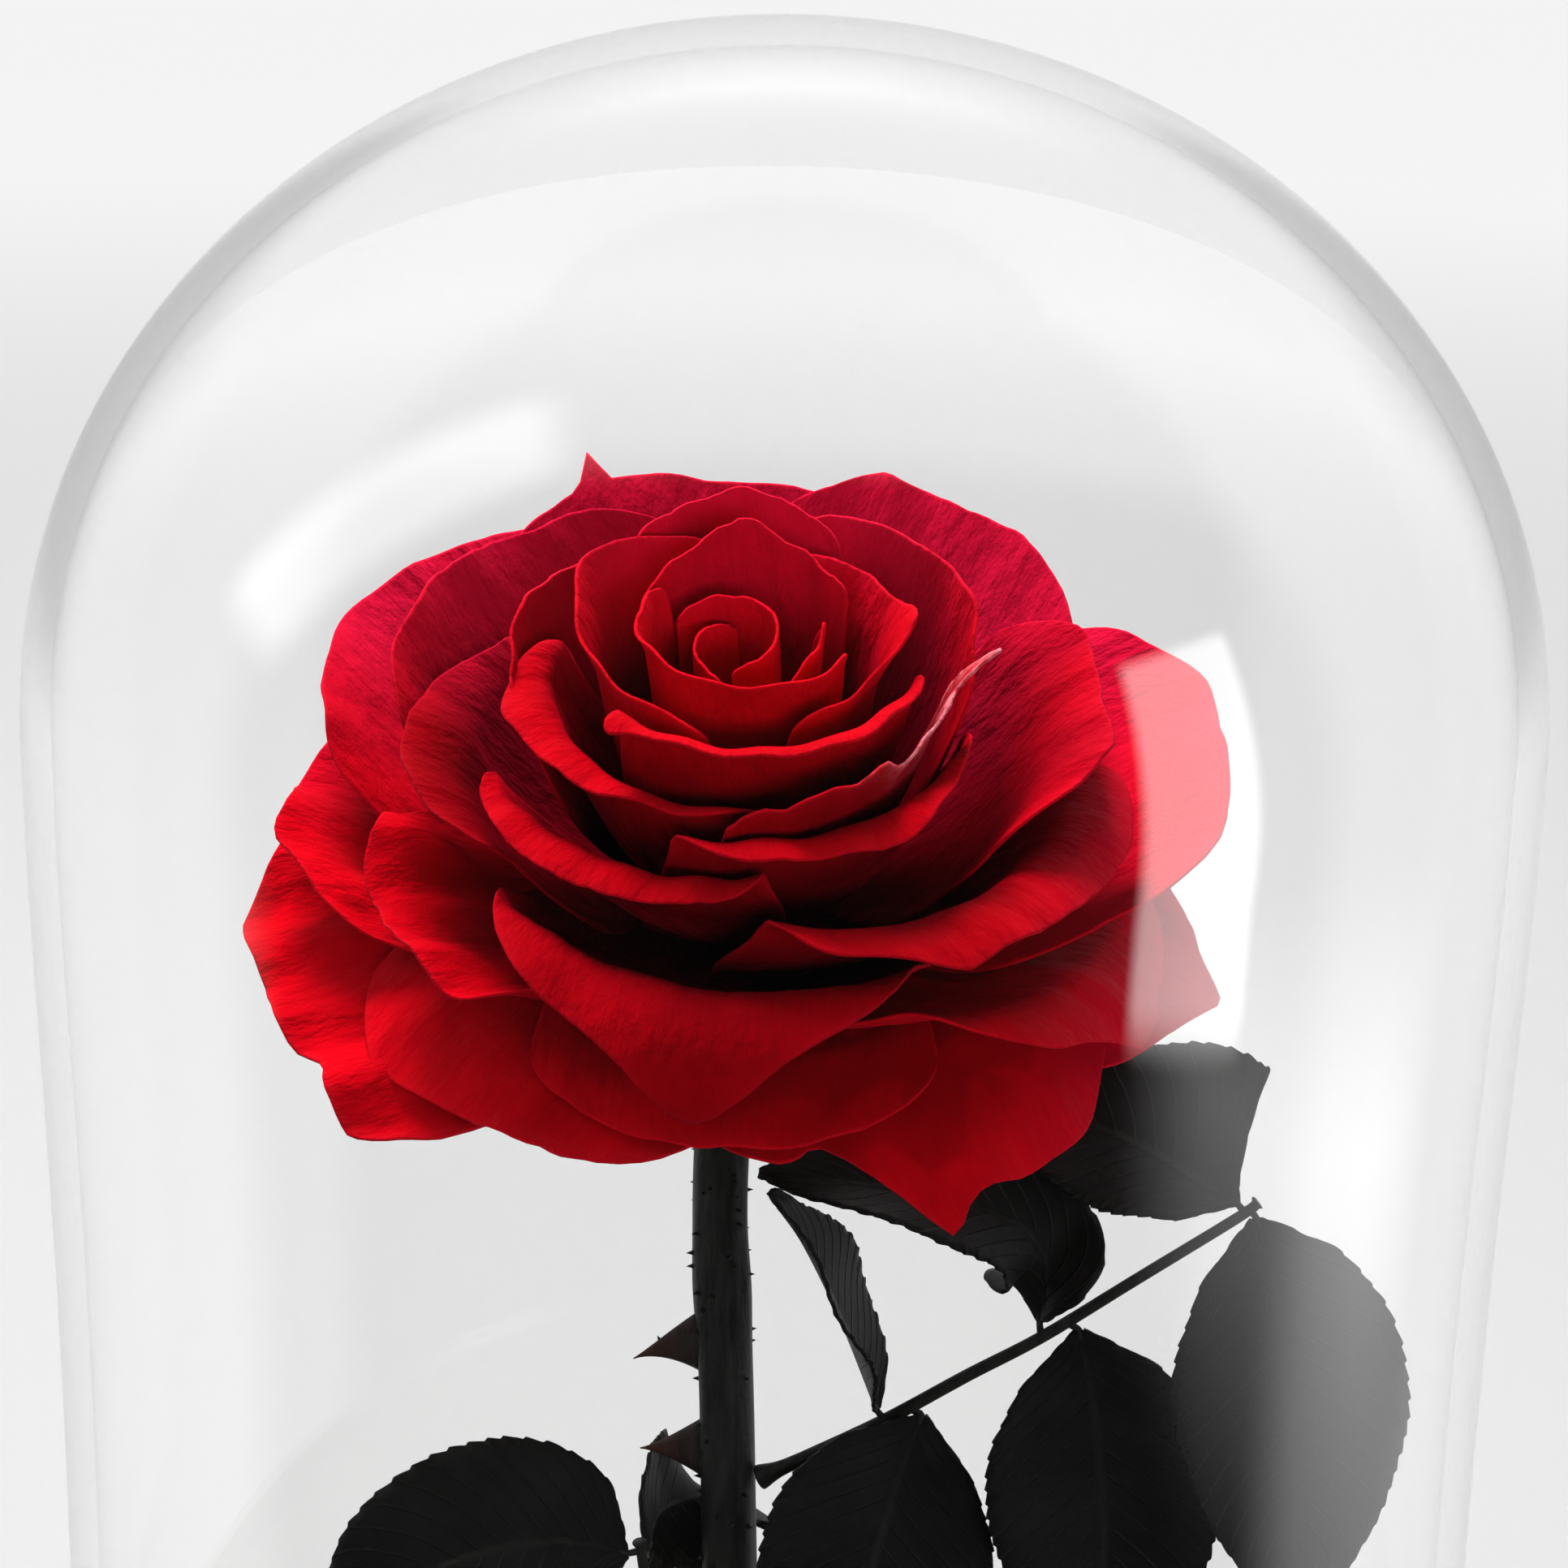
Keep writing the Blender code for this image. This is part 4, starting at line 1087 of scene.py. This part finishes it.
def sweep(route, radius_at, steps, sides):
    """Points in metres and faces of a closed tube along a smooth route in millimetres."""
    route = [Vector(point) for point in route]
    points = []
    side = Vector((1, 0, 0))
    for step in range(steps + 1):
        share = step / steps
        centre = along(route, share)
        tangent = (along(route, share + TANGENT_STEP) - along(route, share - TANGENT_STEP)).normalized()
        side = (side - side.dot(tangent) * tangent).normalized()
        other = tangent.cross(side)
        for index in range(sides):
            angle = 2 * math.pi * index / sides
            radius = radius_at(share, angle)
            points.append((centre + (side * math.cos(angle) + other * math.sin(angle)) * radius) * MM)
    return points, tube_faces(steps + 1, sides)


def swelling(share, place, width, height):
    """Height of a smooth swelling at one place of a route."""
    return height * math.exp(-(((share - place) / width) ** 2))


def thorn_points(height, turn, length, droop):
    """A hooked thorn with a tall, thin root that flows out of the stem."""
    route = [Vector(point) for point in STEM_ROUTE]
    shares = (step / ROUTE_CHECKS for step in range(ROUTE_CHECKS + 1))
    share = min(shares, key=lambda s: abs(along(route, s).z - height))
    place = Matrix.Translation(along(route, share)) @ Matrix.Rotation(math.radians(turn), 4, "Z")
    points = []
    for ring in range(THORN_RINGS):
        out = ring / (THORN_RINGS - 1)
        slim = (1 - out) ** THORN_SLIMNESS
        tall = THORN_ROOT_HEIGHT * slim + THORN_TIP_HEIGHT
        thin = THORN_ROOT_THICKNESS * slim**THORN_FLATNESS + THORN_TIP_THICKNESS
        reach = STEM_RADIUS - THORN_ROOT_DEPTH + out * (length + THORN_ROOT_DEPTH)
        for index in range(THORN_SIDES):
            angle = 2 * math.pi * index / THORN_SIDES
            point = Vector((reach, thin * math.cos(angle), tall * math.sin(angle) - droop * out**2))
            points.append(place @ point * MM)
    return points, tube_faces(THORN_RINGS, THORN_SIDES)


def stem_radius(share, angle):
    """Smooth in the base, then ridged, with the swelling of a node and a neck that widens to the flower."""
    if share <= STEM_FOOT_SHARE:
        return STEM_RADIUS - STEM_SLACK
    ridges = sum(height * math.sin(count * angle + twist * share) for height, count, twist in STEM_RIDGES)
    neck = STEM_NECK_HEIGHT * max(share - STEM_NECK_FROM, 0) / STEM_NECK_LENGTH
    return STEM_RADIUS - STEM_SLACK + (ridges + (swelling(share, *STEM_NODE) + neck))


def new_tree(name, start, result, sizes):
    """An empty geometry nodes tree with named inputs. Gives back the tree, what its inputs hold inside it
    and the identifiers by which a modifier sets them."""
    tree = bpy.data.node_groups.new(name, "GeometryNodeTree")
    tree.interface.new_socket(start, in_out="INPUT", socket_type="NodeSocketGeometry")
    wanted = {}
    for label, kind, value in (*sizes, ("Skin", "Material", None)):
        socket = tree.interface.new_socket(label, in_out="INPUT", socket_type="NodeSocket" + kind)
        if value is not None:
            socket.default_value = value
        wanted[label] = socket.identifier
    tree.interface.new_socket(result, in_out="OUTPUT", socket_type="NodeSocketGeometry")
    return tree, tree.nodes.new("NodeGroupInput").outputs, wanted


def end_tree(tree, given, geometry):
    """Makes instances real, sets the material and hands the result out."""
    real = add_node(tree, "GeometryNodeRealizeInstances", {0: geometry})
    paint = add_node(tree, "GeometryNodeSetMaterial", {
        "Geometry": real.outputs[0], "Material": given["Skin"]})
    add_node(tree, "NodeGroupOutput", {0: paint.outputs[0]})


def prickle_tree():
    """Geometry nodes: small sharp prickles strewn over a stem's skin."""
    sizes = (("Prickles per square metre", "Float", PRICKLES_PER_SQUARE_METRE),
             ("Prickle length", "Float", PRICKLE_LENGTH), ("Prickle radius", "Float", PRICKLE_RADIUS),
             ("Seed", "Int", PRICKLE_SEED))
    tree, given, wanted = new_tree("strew prickles", "Stem", "Stem", sizes)
    strew = add_node(tree, "GeometryNodeDistributePointsOnFaces", {
        "Mesh": given["Stem"], "Density": given["Prickles per square metre"],
        "Seed": given["Seed"]}).outputs
    cone = add_node(tree, "GeometryNodeMeshCone", {
        "Vertices": PRICKLE_SIDES, "Radius Top": PRICKLE_TIP, "Radius Bottom": given["Prickle radius"],
        "Depth": given["Prickle length"]})
    size = add_node(tree, "FunctionNodeRandomValue", {2: PRICKLE_LEAST_SIZE, 3: PRICKLE_MOST_SIZE})
    plant = add_node(tree, "GeometryNodeInstanceOnPoints", {
        "Points": strew["Points"], "Instance": cone.outputs["Mesh"], "Rotation": strew["Rotation"],
        "Scale": size.outputs[1]})
    both = add_node(tree, "GeometryNodeJoinGeometry", {0: given["Stem"]})
    feed(tree, both.inputs[0], plant.outputs[0])
    end_tree(tree, given, both.outputs[0])
    return tree, wanted


def grown(piece, tree, wanted, values):
    """The plain mesh that a piece's geometry nodes make of it, as a piece of the same name."""
    modifier = piece.modifiers.new("grow", "NODES")
    modifier.node_group = tree
    for label, value in values.items():
        modifier[wanted[label]] = value
    name = piece.name
    mesh = applied_mesh(piece)
    mesh.name = name
    mesh.shade_smooth()
    return add_object(name, mesh)


def make_stem(material):
    """The ridged stem with its thorns, marked browner towards their tips, and its prickles."""
    points, faces = sweep(STEM_ROUTE, stem_radius, STEM_RINGS, STEM_SIDES)
    thorny = [0.0] * len(points)
    for thorn in THORNS:
        more, more_faces = thorn_points(*thorn)
        join_to(points, faces, more, more_faces)
        for ring in range(THORN_RINGS):
            thorny += [(ring / (THORN_RINGS - 1)) ** THORN_BROWN_RISE] * THORN_SIDES
    stem = mesh_piece("thorny_stem", points, faces)
    mark_points(stem.data, "thorn", thorny)
    tree, wanted = prickle_tree()
    return stand_for(grown(stem, tree, wanted, {"Skin": material}), "stem")


def stalk_radius(share, angle):
    """A tapering leaf stalk with a shallow groove, a swollen foot and a bud at its tip."""
    groove = STALK_GROOVE * math.cos(angle)
    foot, tip = swelling(share, *STALK_FOOT), swelling(share, *STALK_TIP)
    return STALK_RADIUS - STALK_TAPER * share + groove + foot + tip


def make_stalk(name, route, material):
    """A leaf stalk with the leaflets' own little stalks."""
    points, faces = sweep(route, stalk_radius, STALK_RINGS, STALK_SIDES)
    side = name.removeprefix("leaf_stalk_")
    for leaflet in LEAFLETS:
        if f"_{side}_" in leaflet.name:
            start, end = Vector(leaflet.joint), Vector(leaflet.path[0])
            beyond = end + (Vector(leaflet.path[1]) - end).normalized() * LITTLE_STALK_ENTRY
            little = sweep((start, (start + end) / 2, end, beyond),
                           lambda share, angle: LITTLE_STALK_RADIUS - LITTLE_STALK_TAPER * share,
                           LITTLE_STALK_RINGS, LITTLE_STALK_SIDES)
            join_to(points, faces, *little)
    return stand_for(mesh_piece(name + "_fine", points, faces), name, material)


# Leaflets


def leaflet_tree():
    """Geometry nodes: a serrated blade laid along a midrib curve. The places of a grid of one by one are
    read as places across and along the blade."""
    sizes = (("Half width", "Float", 14 * MM), ("Face", "Vector", (0, -1, 0)), ("Fold", "Float", 0.2),
             ("Teeth", "Float", LEAF_TEETH), ("Tooth depth", "Float", LEAF_TOOTH_DEPTH),
             ("Ripple", "Float", LEAF_RIPPLE), ("Corner", "Float", 0.0), ("Seed", "Float", 0.0))
    tree, given, wanted = new_tree("serrated leaflet", "Midrib", "Blade", sizes)

    def value_of(operation, *inputs):
        return add_maths(tree, operation, *inputs)

    def vector_of(operation, first, second=None):
        node = add_node(tree, "ShaderNodeVectorMath", {0: first}, operation=operation)
        if second is not None:
            feed(tree, node.inputs["Scale" if operation == "SCALE" else 1], second)
        return node.outputs["Value" if operation == "DOT_PRODUCT" else "Vector"]

    grid = add_node(tree, "GeometryNodeMeshGrid", {
        "Size X": 1, "Size Y": 1, "Vertices X": LEAF_COLUMNS, "Vertices Y": LEAF_ROWS})
    flat_place = add_node(tree, "GeometryNodeInputPosition").outputs[0]
    split = add_node(tree, "ShaderNodeSeparateXYZ", {0: flat_place})
    across = value_of("MULTIPLY", split.outputs[0], 2.0)
    share = value_of("ADD", split.outputs[1], 0.5)
    reach = value_of("ABSOLUTE", across)

    # Half width along the blade, with its teeth and with a pointed lobe on one side
    outline = add_node(tree, "ShaderNodeFloatCurve", {"Value": share})
    curve = outline.mapping.curves[0]
    for place, height in LEAF_OUTLINE[1:-1]:
        curve.points.new(place, height)
    curve.points[0].location = LEAF_OUTLINE[0]
    curve.points[-1].location = LEAF_OUTLINE[-1]
    outline.mapping.update()
    saw = value_of("FRACT", value_of("MULTIPLY", share, given["Teeth"]))
    bite = value_of("MULTIPLY", value_of("SUBTRACT", saw, TOOTH_MIDDLE), given["Tooth depth"])
    bite = value_of("MULTIPLY", bite, value_of("POWER", reach, TOOTH_RISE))
    bite = value_of("MULTIPLY", bite, outline.outputs[0])
    half = value_of("ADD", value_of("MULTIPLY", outline.outputs[0], given["Half width"]), bite)
    lobe_rise = value_of("POWER", value_of("DIVIDE", share, LOBE_PEAK), LOBE_SHARPNESS)
    lobe_fall = value_of("DIVIDE", value_of("SUBTRACT", LOBE_END, share), LOBE_END - LOBE_PEAK)
    lobe = value_of("MAXIMUM", value_of("MINIMUM", lobe_rise, lobe_fall), 0.0)
    lobe = value_of("MULTIPLY", lobe, value_of("GREATER_THAN", across, 0.0))
    half = value_of("ADD", half, value_of("MULTIPLY", lobe, given["Corner"]))
    out = value_of("MULTIPLY", across, half)

    # Directions at the midrib: along it, out of the face and sideways
    sample = add_node(tree, "GeometryNodeSampleCurve", {"Curves": given["Midrib"], "Factor": share},
                      use_all_curves=True)
    tangent = vector_of("NORMALIZE", sample.outputs["Tangent"])
    lean = vector_of("SCALE", tangent, vector_of("DOT_PRODUCT", given["Face"], tangent))
    up = vector_of("NORMALIZE", vector_of("SUBTRACT", given["Face"], lean))
    side = vector_of("CROSS_PRODUCT", tangent, up)

    # Height over the midrib: the fold of the two halves, slow ripples and the relief of the side veins
    rise = value_of("MULTIPLY", value_of("ABSOLUTE", out), value_of("SINE", given["Fold"]))
    phase = value_of("ADD", value_of("MULTIPLY", share, RIPPLE_WAVES), given["Seed"])
    swing = value_of("SINE", value_of("ADD", phase, value_of("MULTIPLY", across, RIPPLE_SLANT)))
    swing = value_of("MULTIPLY", swing, given["Ripple"])
    rise = value_of("ADD", rise, value_of("MULTIPLY", swing, value_of("POWER", reach, RIPPLE_RISE)))
    vein = value_of("SUBTRACT", value_of("MULTIPLY", share, VEIN_RELIEF_WAVES),
                    value_of("MULTIPLY", reach, VEIN_RELIEF_SLANT))
    relief = value_of("MULTIPLY", value_of("SINE", vein), value_of("MULTIPLY", reach, VEIN_RELIEF))
    rise = value_of("ADD", rise, relief)

    flat_out = value_of("MULTIPLY", out, value_of("COSINE", given["Fold"]))
    place = vector_of("ADD", sample.outputs["Position"], vector_of("SCALE", side, flat_out))
    place = vector_of("ADD", place, vector_of("SCALE", up, rise))
    pair = add_node(tree, "ShaderNodeCombineXYZ", {0: across, 1: share})
    keep = add_node(tree, "GeometryNodeStoreNamedAttribute", {
        "Geometry": grid.outputs["Mesh"], "Name": "leaf", "Value": pair.outputs[0]},
                    data_type="FLOAT2", domain="CORNER")
    lay = add_node(tree, "GeometryNodeSetPosition", {"Geometry": keep.outputs[0], "Position": place})
    end_tree(tree, given, lay.outputs[0])
    return tree, wanted


def make_leaflet(leaflet, seed, tree, wanted, material):
    """A folded, serrated blade on its own midrib."""
    curve = bpy.data.curves.new(leaflet.name, "CURVE")
    curve.dimensions = "3D"
    spline = curve.splines.new("POLY")
    spline.points.add(MIDRIB_STEPS)
    path = [Vector(point) for point in leaflet.path]
    for index, point in enumerate(spline.points):
        point.co = (*(along(path, index / MIDRIB_STEPS) * MM), 1)
    midrib = add_object(leaflet.name + "_serrated", curve)
    piece = grown(midrib, tree, wanted, {
        "Half width": leaflet.width / 2 * MM, "Face": leaflet.face, "Fold": math.radians(leaflet.fold),
        "Corner": leaflet.corner * MM, "Seed": RIPPLE_SHIFT * seed, "Skin": material})
    thicken(piece, LEAFLET_THICKNESS)
    return stand_for(piece, leaflet.name)


# Studio


def make_camera():
    """The photograph's viewpoint, which looks down on the bloom with a slight roll."""
    forward = Vector((0, math.cos(CAMERA_ELEVATION), -math.sin(CAMERA_ELEVATION)))
    right = Vector((1, 0, 0))
    up = right.cross(forward)
    c, s = math.cos(CAMERA_ROLL), math.sin(CAMERA_ROLL)
    across, upward = right * c - up * s, right * s + up * c
    data = bpy.data.cameras.new("photo view")
    data.sensor_width = CAMERA_SENSOR
    data.lens = CAMERA_LENS
    data.clip_start = CAMERA_NEAR
    camera = add_object("photo view", data)
    camera.matrix_world = (Matrix.Translation(CAMERA_TARGET - forward * CAMERA_DISTANCE)
                           @ Matrix((across, upward, -forward)).transposed().to_4x4())
    bpy.context.scene.camera = camera


def make_floor():
    """A pale floor that glows twice as bright far away as near. Bounced light and reflections pass through
    it, so that it lays no grey veil on the glass and leaves the folds of the bloom deep."""
    r = Recipe("pale paper")
    far = r.add("ShaderNodeVectorMath", {0: r.place()}, operation="LENGTH").outputs["Value"]
    glow = smooth_step(r.tree, far, *FLOOR_GLOW_FADE, FLOOR_GLOW_NEAR, FLOOR_GLOW_FAR)
    rays = r.add("ShaderNodeLightPath").outputs
    faces = r.maths("MINIMUM", rays["Transmission Depth"], GLASS_FACES)
    gain = r.maths("ADD", 1.0, r.maths("MULTIPLY", faces, GLASS_GAIN / GLASS_FACES))
    r.set(Base_Color=(FLOOR_PALE, FLOOR_PALE, FLOOR_PALE, 1), Roughness=1.0, Specular_IOR_Level=0.0,
          Emission_Color=WHITE, Emission_Strength=r.maths("MULTIPLY", glow, gain))
    bounces = r.maths("ADD", rays["Glossy Depth"], rays["Diffuse Depth"])
    r.clear_where(r.maths("GREATER_THAN", bounces, HALF_A_BOUNCE), WHITE)
    points = []
    for side in range(FLOOR_SIDES):
        angle = 2 * math.pi * side / FLOOR_SIDES
        points.append((FLOOR_RADIUS * math.cos(angle), FLOOR_RADIUS * math.sin(angle), 0))
    floor = mesh_piece("pale_floor", points, [tuple(range(FLOOR_SIDES))])
    floor.data.materials.append(r.material)


def softbox(name, centre, facing, along_side, width, length, radiance, soft=0.15, mirrored=True,
            lights=True):
    """A flat lamp that is even in its middle and fades over the soft share of its edges. along_side is the
    direction of its length. A lamp that isn't mirrored lights the flower but shows in no glass, and one
    that doesn't light only shows in the glass."""
    data = bpy.data.lights.new(name, "AREA")
    data.shape = "RECTANGLE"
    data.size = width
    data.size_y = length
    data.energy = radiance * WATTS_PER_RADIANCE * width * length
    data.use_nodes = True
    tree = data.node_tree
    place = add_node(tree, "ShaderNodeNewGeometry").outputs["Parametric"]
    split = add_node(tree, "ShaderNodeSeparateXYZ", {0: place})
    fades = []
    for axis, half in ((0, min(0.5 * length / width, WIDEST_FADE)), (1, 0.5)):
        from_edge = add_maths(tree, "PINGPONG", split.outputs[axis], 0.5)
        fades.append(smooth_step(tree, from_edge, 0.0, soft * half))
    feed(tree, tree.nodes["Emission"].inputs["Strength"], add_maths(tree, "MULTIPLY", *fades))
    lamp = add_object(name, data)
    back = (Vector(centre) - Vector(facing)).normalized()
    up = Vector(along_side)
    up = (up - up.dot(back) * back).normalized()
    turn = Matrix((up.cross(back), up, back)).transposed().to_4x4()
    lamp.matrix_world = Matrix.Translation(centre) @ turn
    lamp.visible_camera = False
    lamp.visible_transmission = False
    lamp.visible_glossy = mirrored
    lamp.visible_diffuse = lights


def make_world():
    """A plain pale room to look at, which lights and mirrors only from behind: its front stays dark, and
    two dark cards behind the object draw grey crescents on the shoulders of the glass."""
    world = bpy.data.worlds.new("studio")
    bpy.context.scene.world = world
    world.use_nodes = True
    tree = world.node_tree
    towards = add_node(tree, "ShaderNodeTexCoord").outputs["Generated"]
    split = add_node(tree, "ShaderNodeSeparateXYZ", {0: towards}).outputs
    above = smooth_step(tree, split["Z"], *ROOM_TOP, 0.0, ROOM_TOP_PULL)
    place = add_maths(tree, "ADD", split["Y"], above)
    behind = smooth_step(tree, place, ROOM_DARK_UNTIL, ROOM_BRIGHT_FROM, ROOM_FRONT, ROOM_BACK)
    aside = add_maths(tree, "ABSOLUTE", split["X"])
    cards = ROOM_SIDE_DARK
    for socket, fade in ((aside, CARD_INNER_EDGE), (aside, CARD_OUTER_EDGE), (split["Z"], CARD_FOOT),
                         (split["Z"], CARD_TOP)):
        cards = add_maths(tree, "MULTIPLY", cards, smooth_step(tree, socket, *fade))
    behind = add_maths(tree, "MULTIPLY", behind, add_maths(tree, "SUBTRACT", 1.0, cards))
    rays = add_node(tree, "ShaderNodeLightPath").outputs
    seen = add_maths(tree, "MAXIMUM", rays["Is Camera Ray"], rays["Is Transmission Ray"])
    bounces = add_maths(tree, "ADD", rays["Diffuse Depth"], rays["Glossy Depth"])
    plain = add_maths(tree, "MULTIPLY", seen, add_maths(tree, "LESS_THAN", bounces, HALF_A_BOUNCE))
    level = add_node(tree, "ShaderNodeMix", {0: plain, 2: behind, 3: ROOM_SEEN}).outputs[0]
    sky = tree.nodes["Background"]
    feed(tree, sky.inputs["Strength"], level)
    feed(tree, sky.inputs["Color"], WHITE)


def make_lights():
    """Each lamp's centre, the point it faces and the direction of its length, then its size and level."""
    bloom = (-0.005, -0.003, 0.2)
    softbox("left softbox", (-0.73, -0.24, 0.75), (-0.04, -0.07, 0.245), (0.54, -0.24, 0.61),
            width=0.34, length=0.98, radiance=3.2, soft=0.35)
    softbox("right softbox", (0.49, -0.33, 0.22), (0.045, -0.077, 0.22), (0, 0, 1),
            width=0.21, length=0.48, radiance=5.4, soft=0.14, lights=False)
    softbox("right low panel", (0.44, -0.12, 0.012), (0.06, -0.06, 0.15), (0, 1, 0),
            width=0.2, length=0.55, radiance=1.8, soft=0.6)
    softbox("top softbox", (0, 0.75, 1.0), bloom, (1, 0, 0), width=0.6, length=1.1, radiance=1.35,
            soft=0.95)
    softbox("front fill", (0.25, -0.8, 0.25), bloom, (1, 0, 0), width=0.2, length=0.8, radiance=8,
            mirrored=False)
    softbox("overhead key", (-0.2, 0.3, 1.15), bloom, (0, 1, 0), width=0.42, length=0.42, radiance=38,
            mirrored=False)


def set_look():
    """Colours without a film look, and how far light is followed."""
    scene = bpy.context.scene
    scene.view_settings.view_transform = "Standard"
    scene.cycles.use_denoising = True
    scene.cycles.use_adaptive_sampling = True
    scene.cycles.adaptive_threshold = 0.04
    scene.cycles.adaptive_min_samples = 12
    scene.cycles.max_bounces = 8
    scene.cycles.transmission_bounces = 7
    scene.cycles.transparent_max_bounces = 6
    scene.cycles.diffuse_bounces = 1
    scene.cycles.glossy_bounces = 3
    scene.cycles.caustics_reflective = False
    scene.cycles.caustics_refractive = True
    scene.cycles.sample_clamp_indirect = 6


def main():
    """Builds every piece in the place of its solid, then the studio."""
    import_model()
    head = Matrix.Translation(HEAD_CENTRE) @ Matrix.Rotation(HEAD_NOD, 4, "X")
    make_base(wood_material())
    make_dome(glass_material())
    bark = bark_material()
    make_stem(bark)
    for name, route in STALK_ROUTES.items():
        make_stalk(name, route, bark)
    make_calyx(head, calyx_material())
    velvet = petal_material()
    for seed, petal in enumerate(PETALS):
        make_petal(petal, seed, head, velvet)
    leaf = leaf_material()
    tree, wanted = leaflet_tree()
    for seed, leaflet in enumerate(LEAFLETS):
        make_leaflet(leaflet, seed, tree, wanted, leaf)
    make_floor()
    make_world()
    make_lights()
    make_camera()
    set_look()


main()
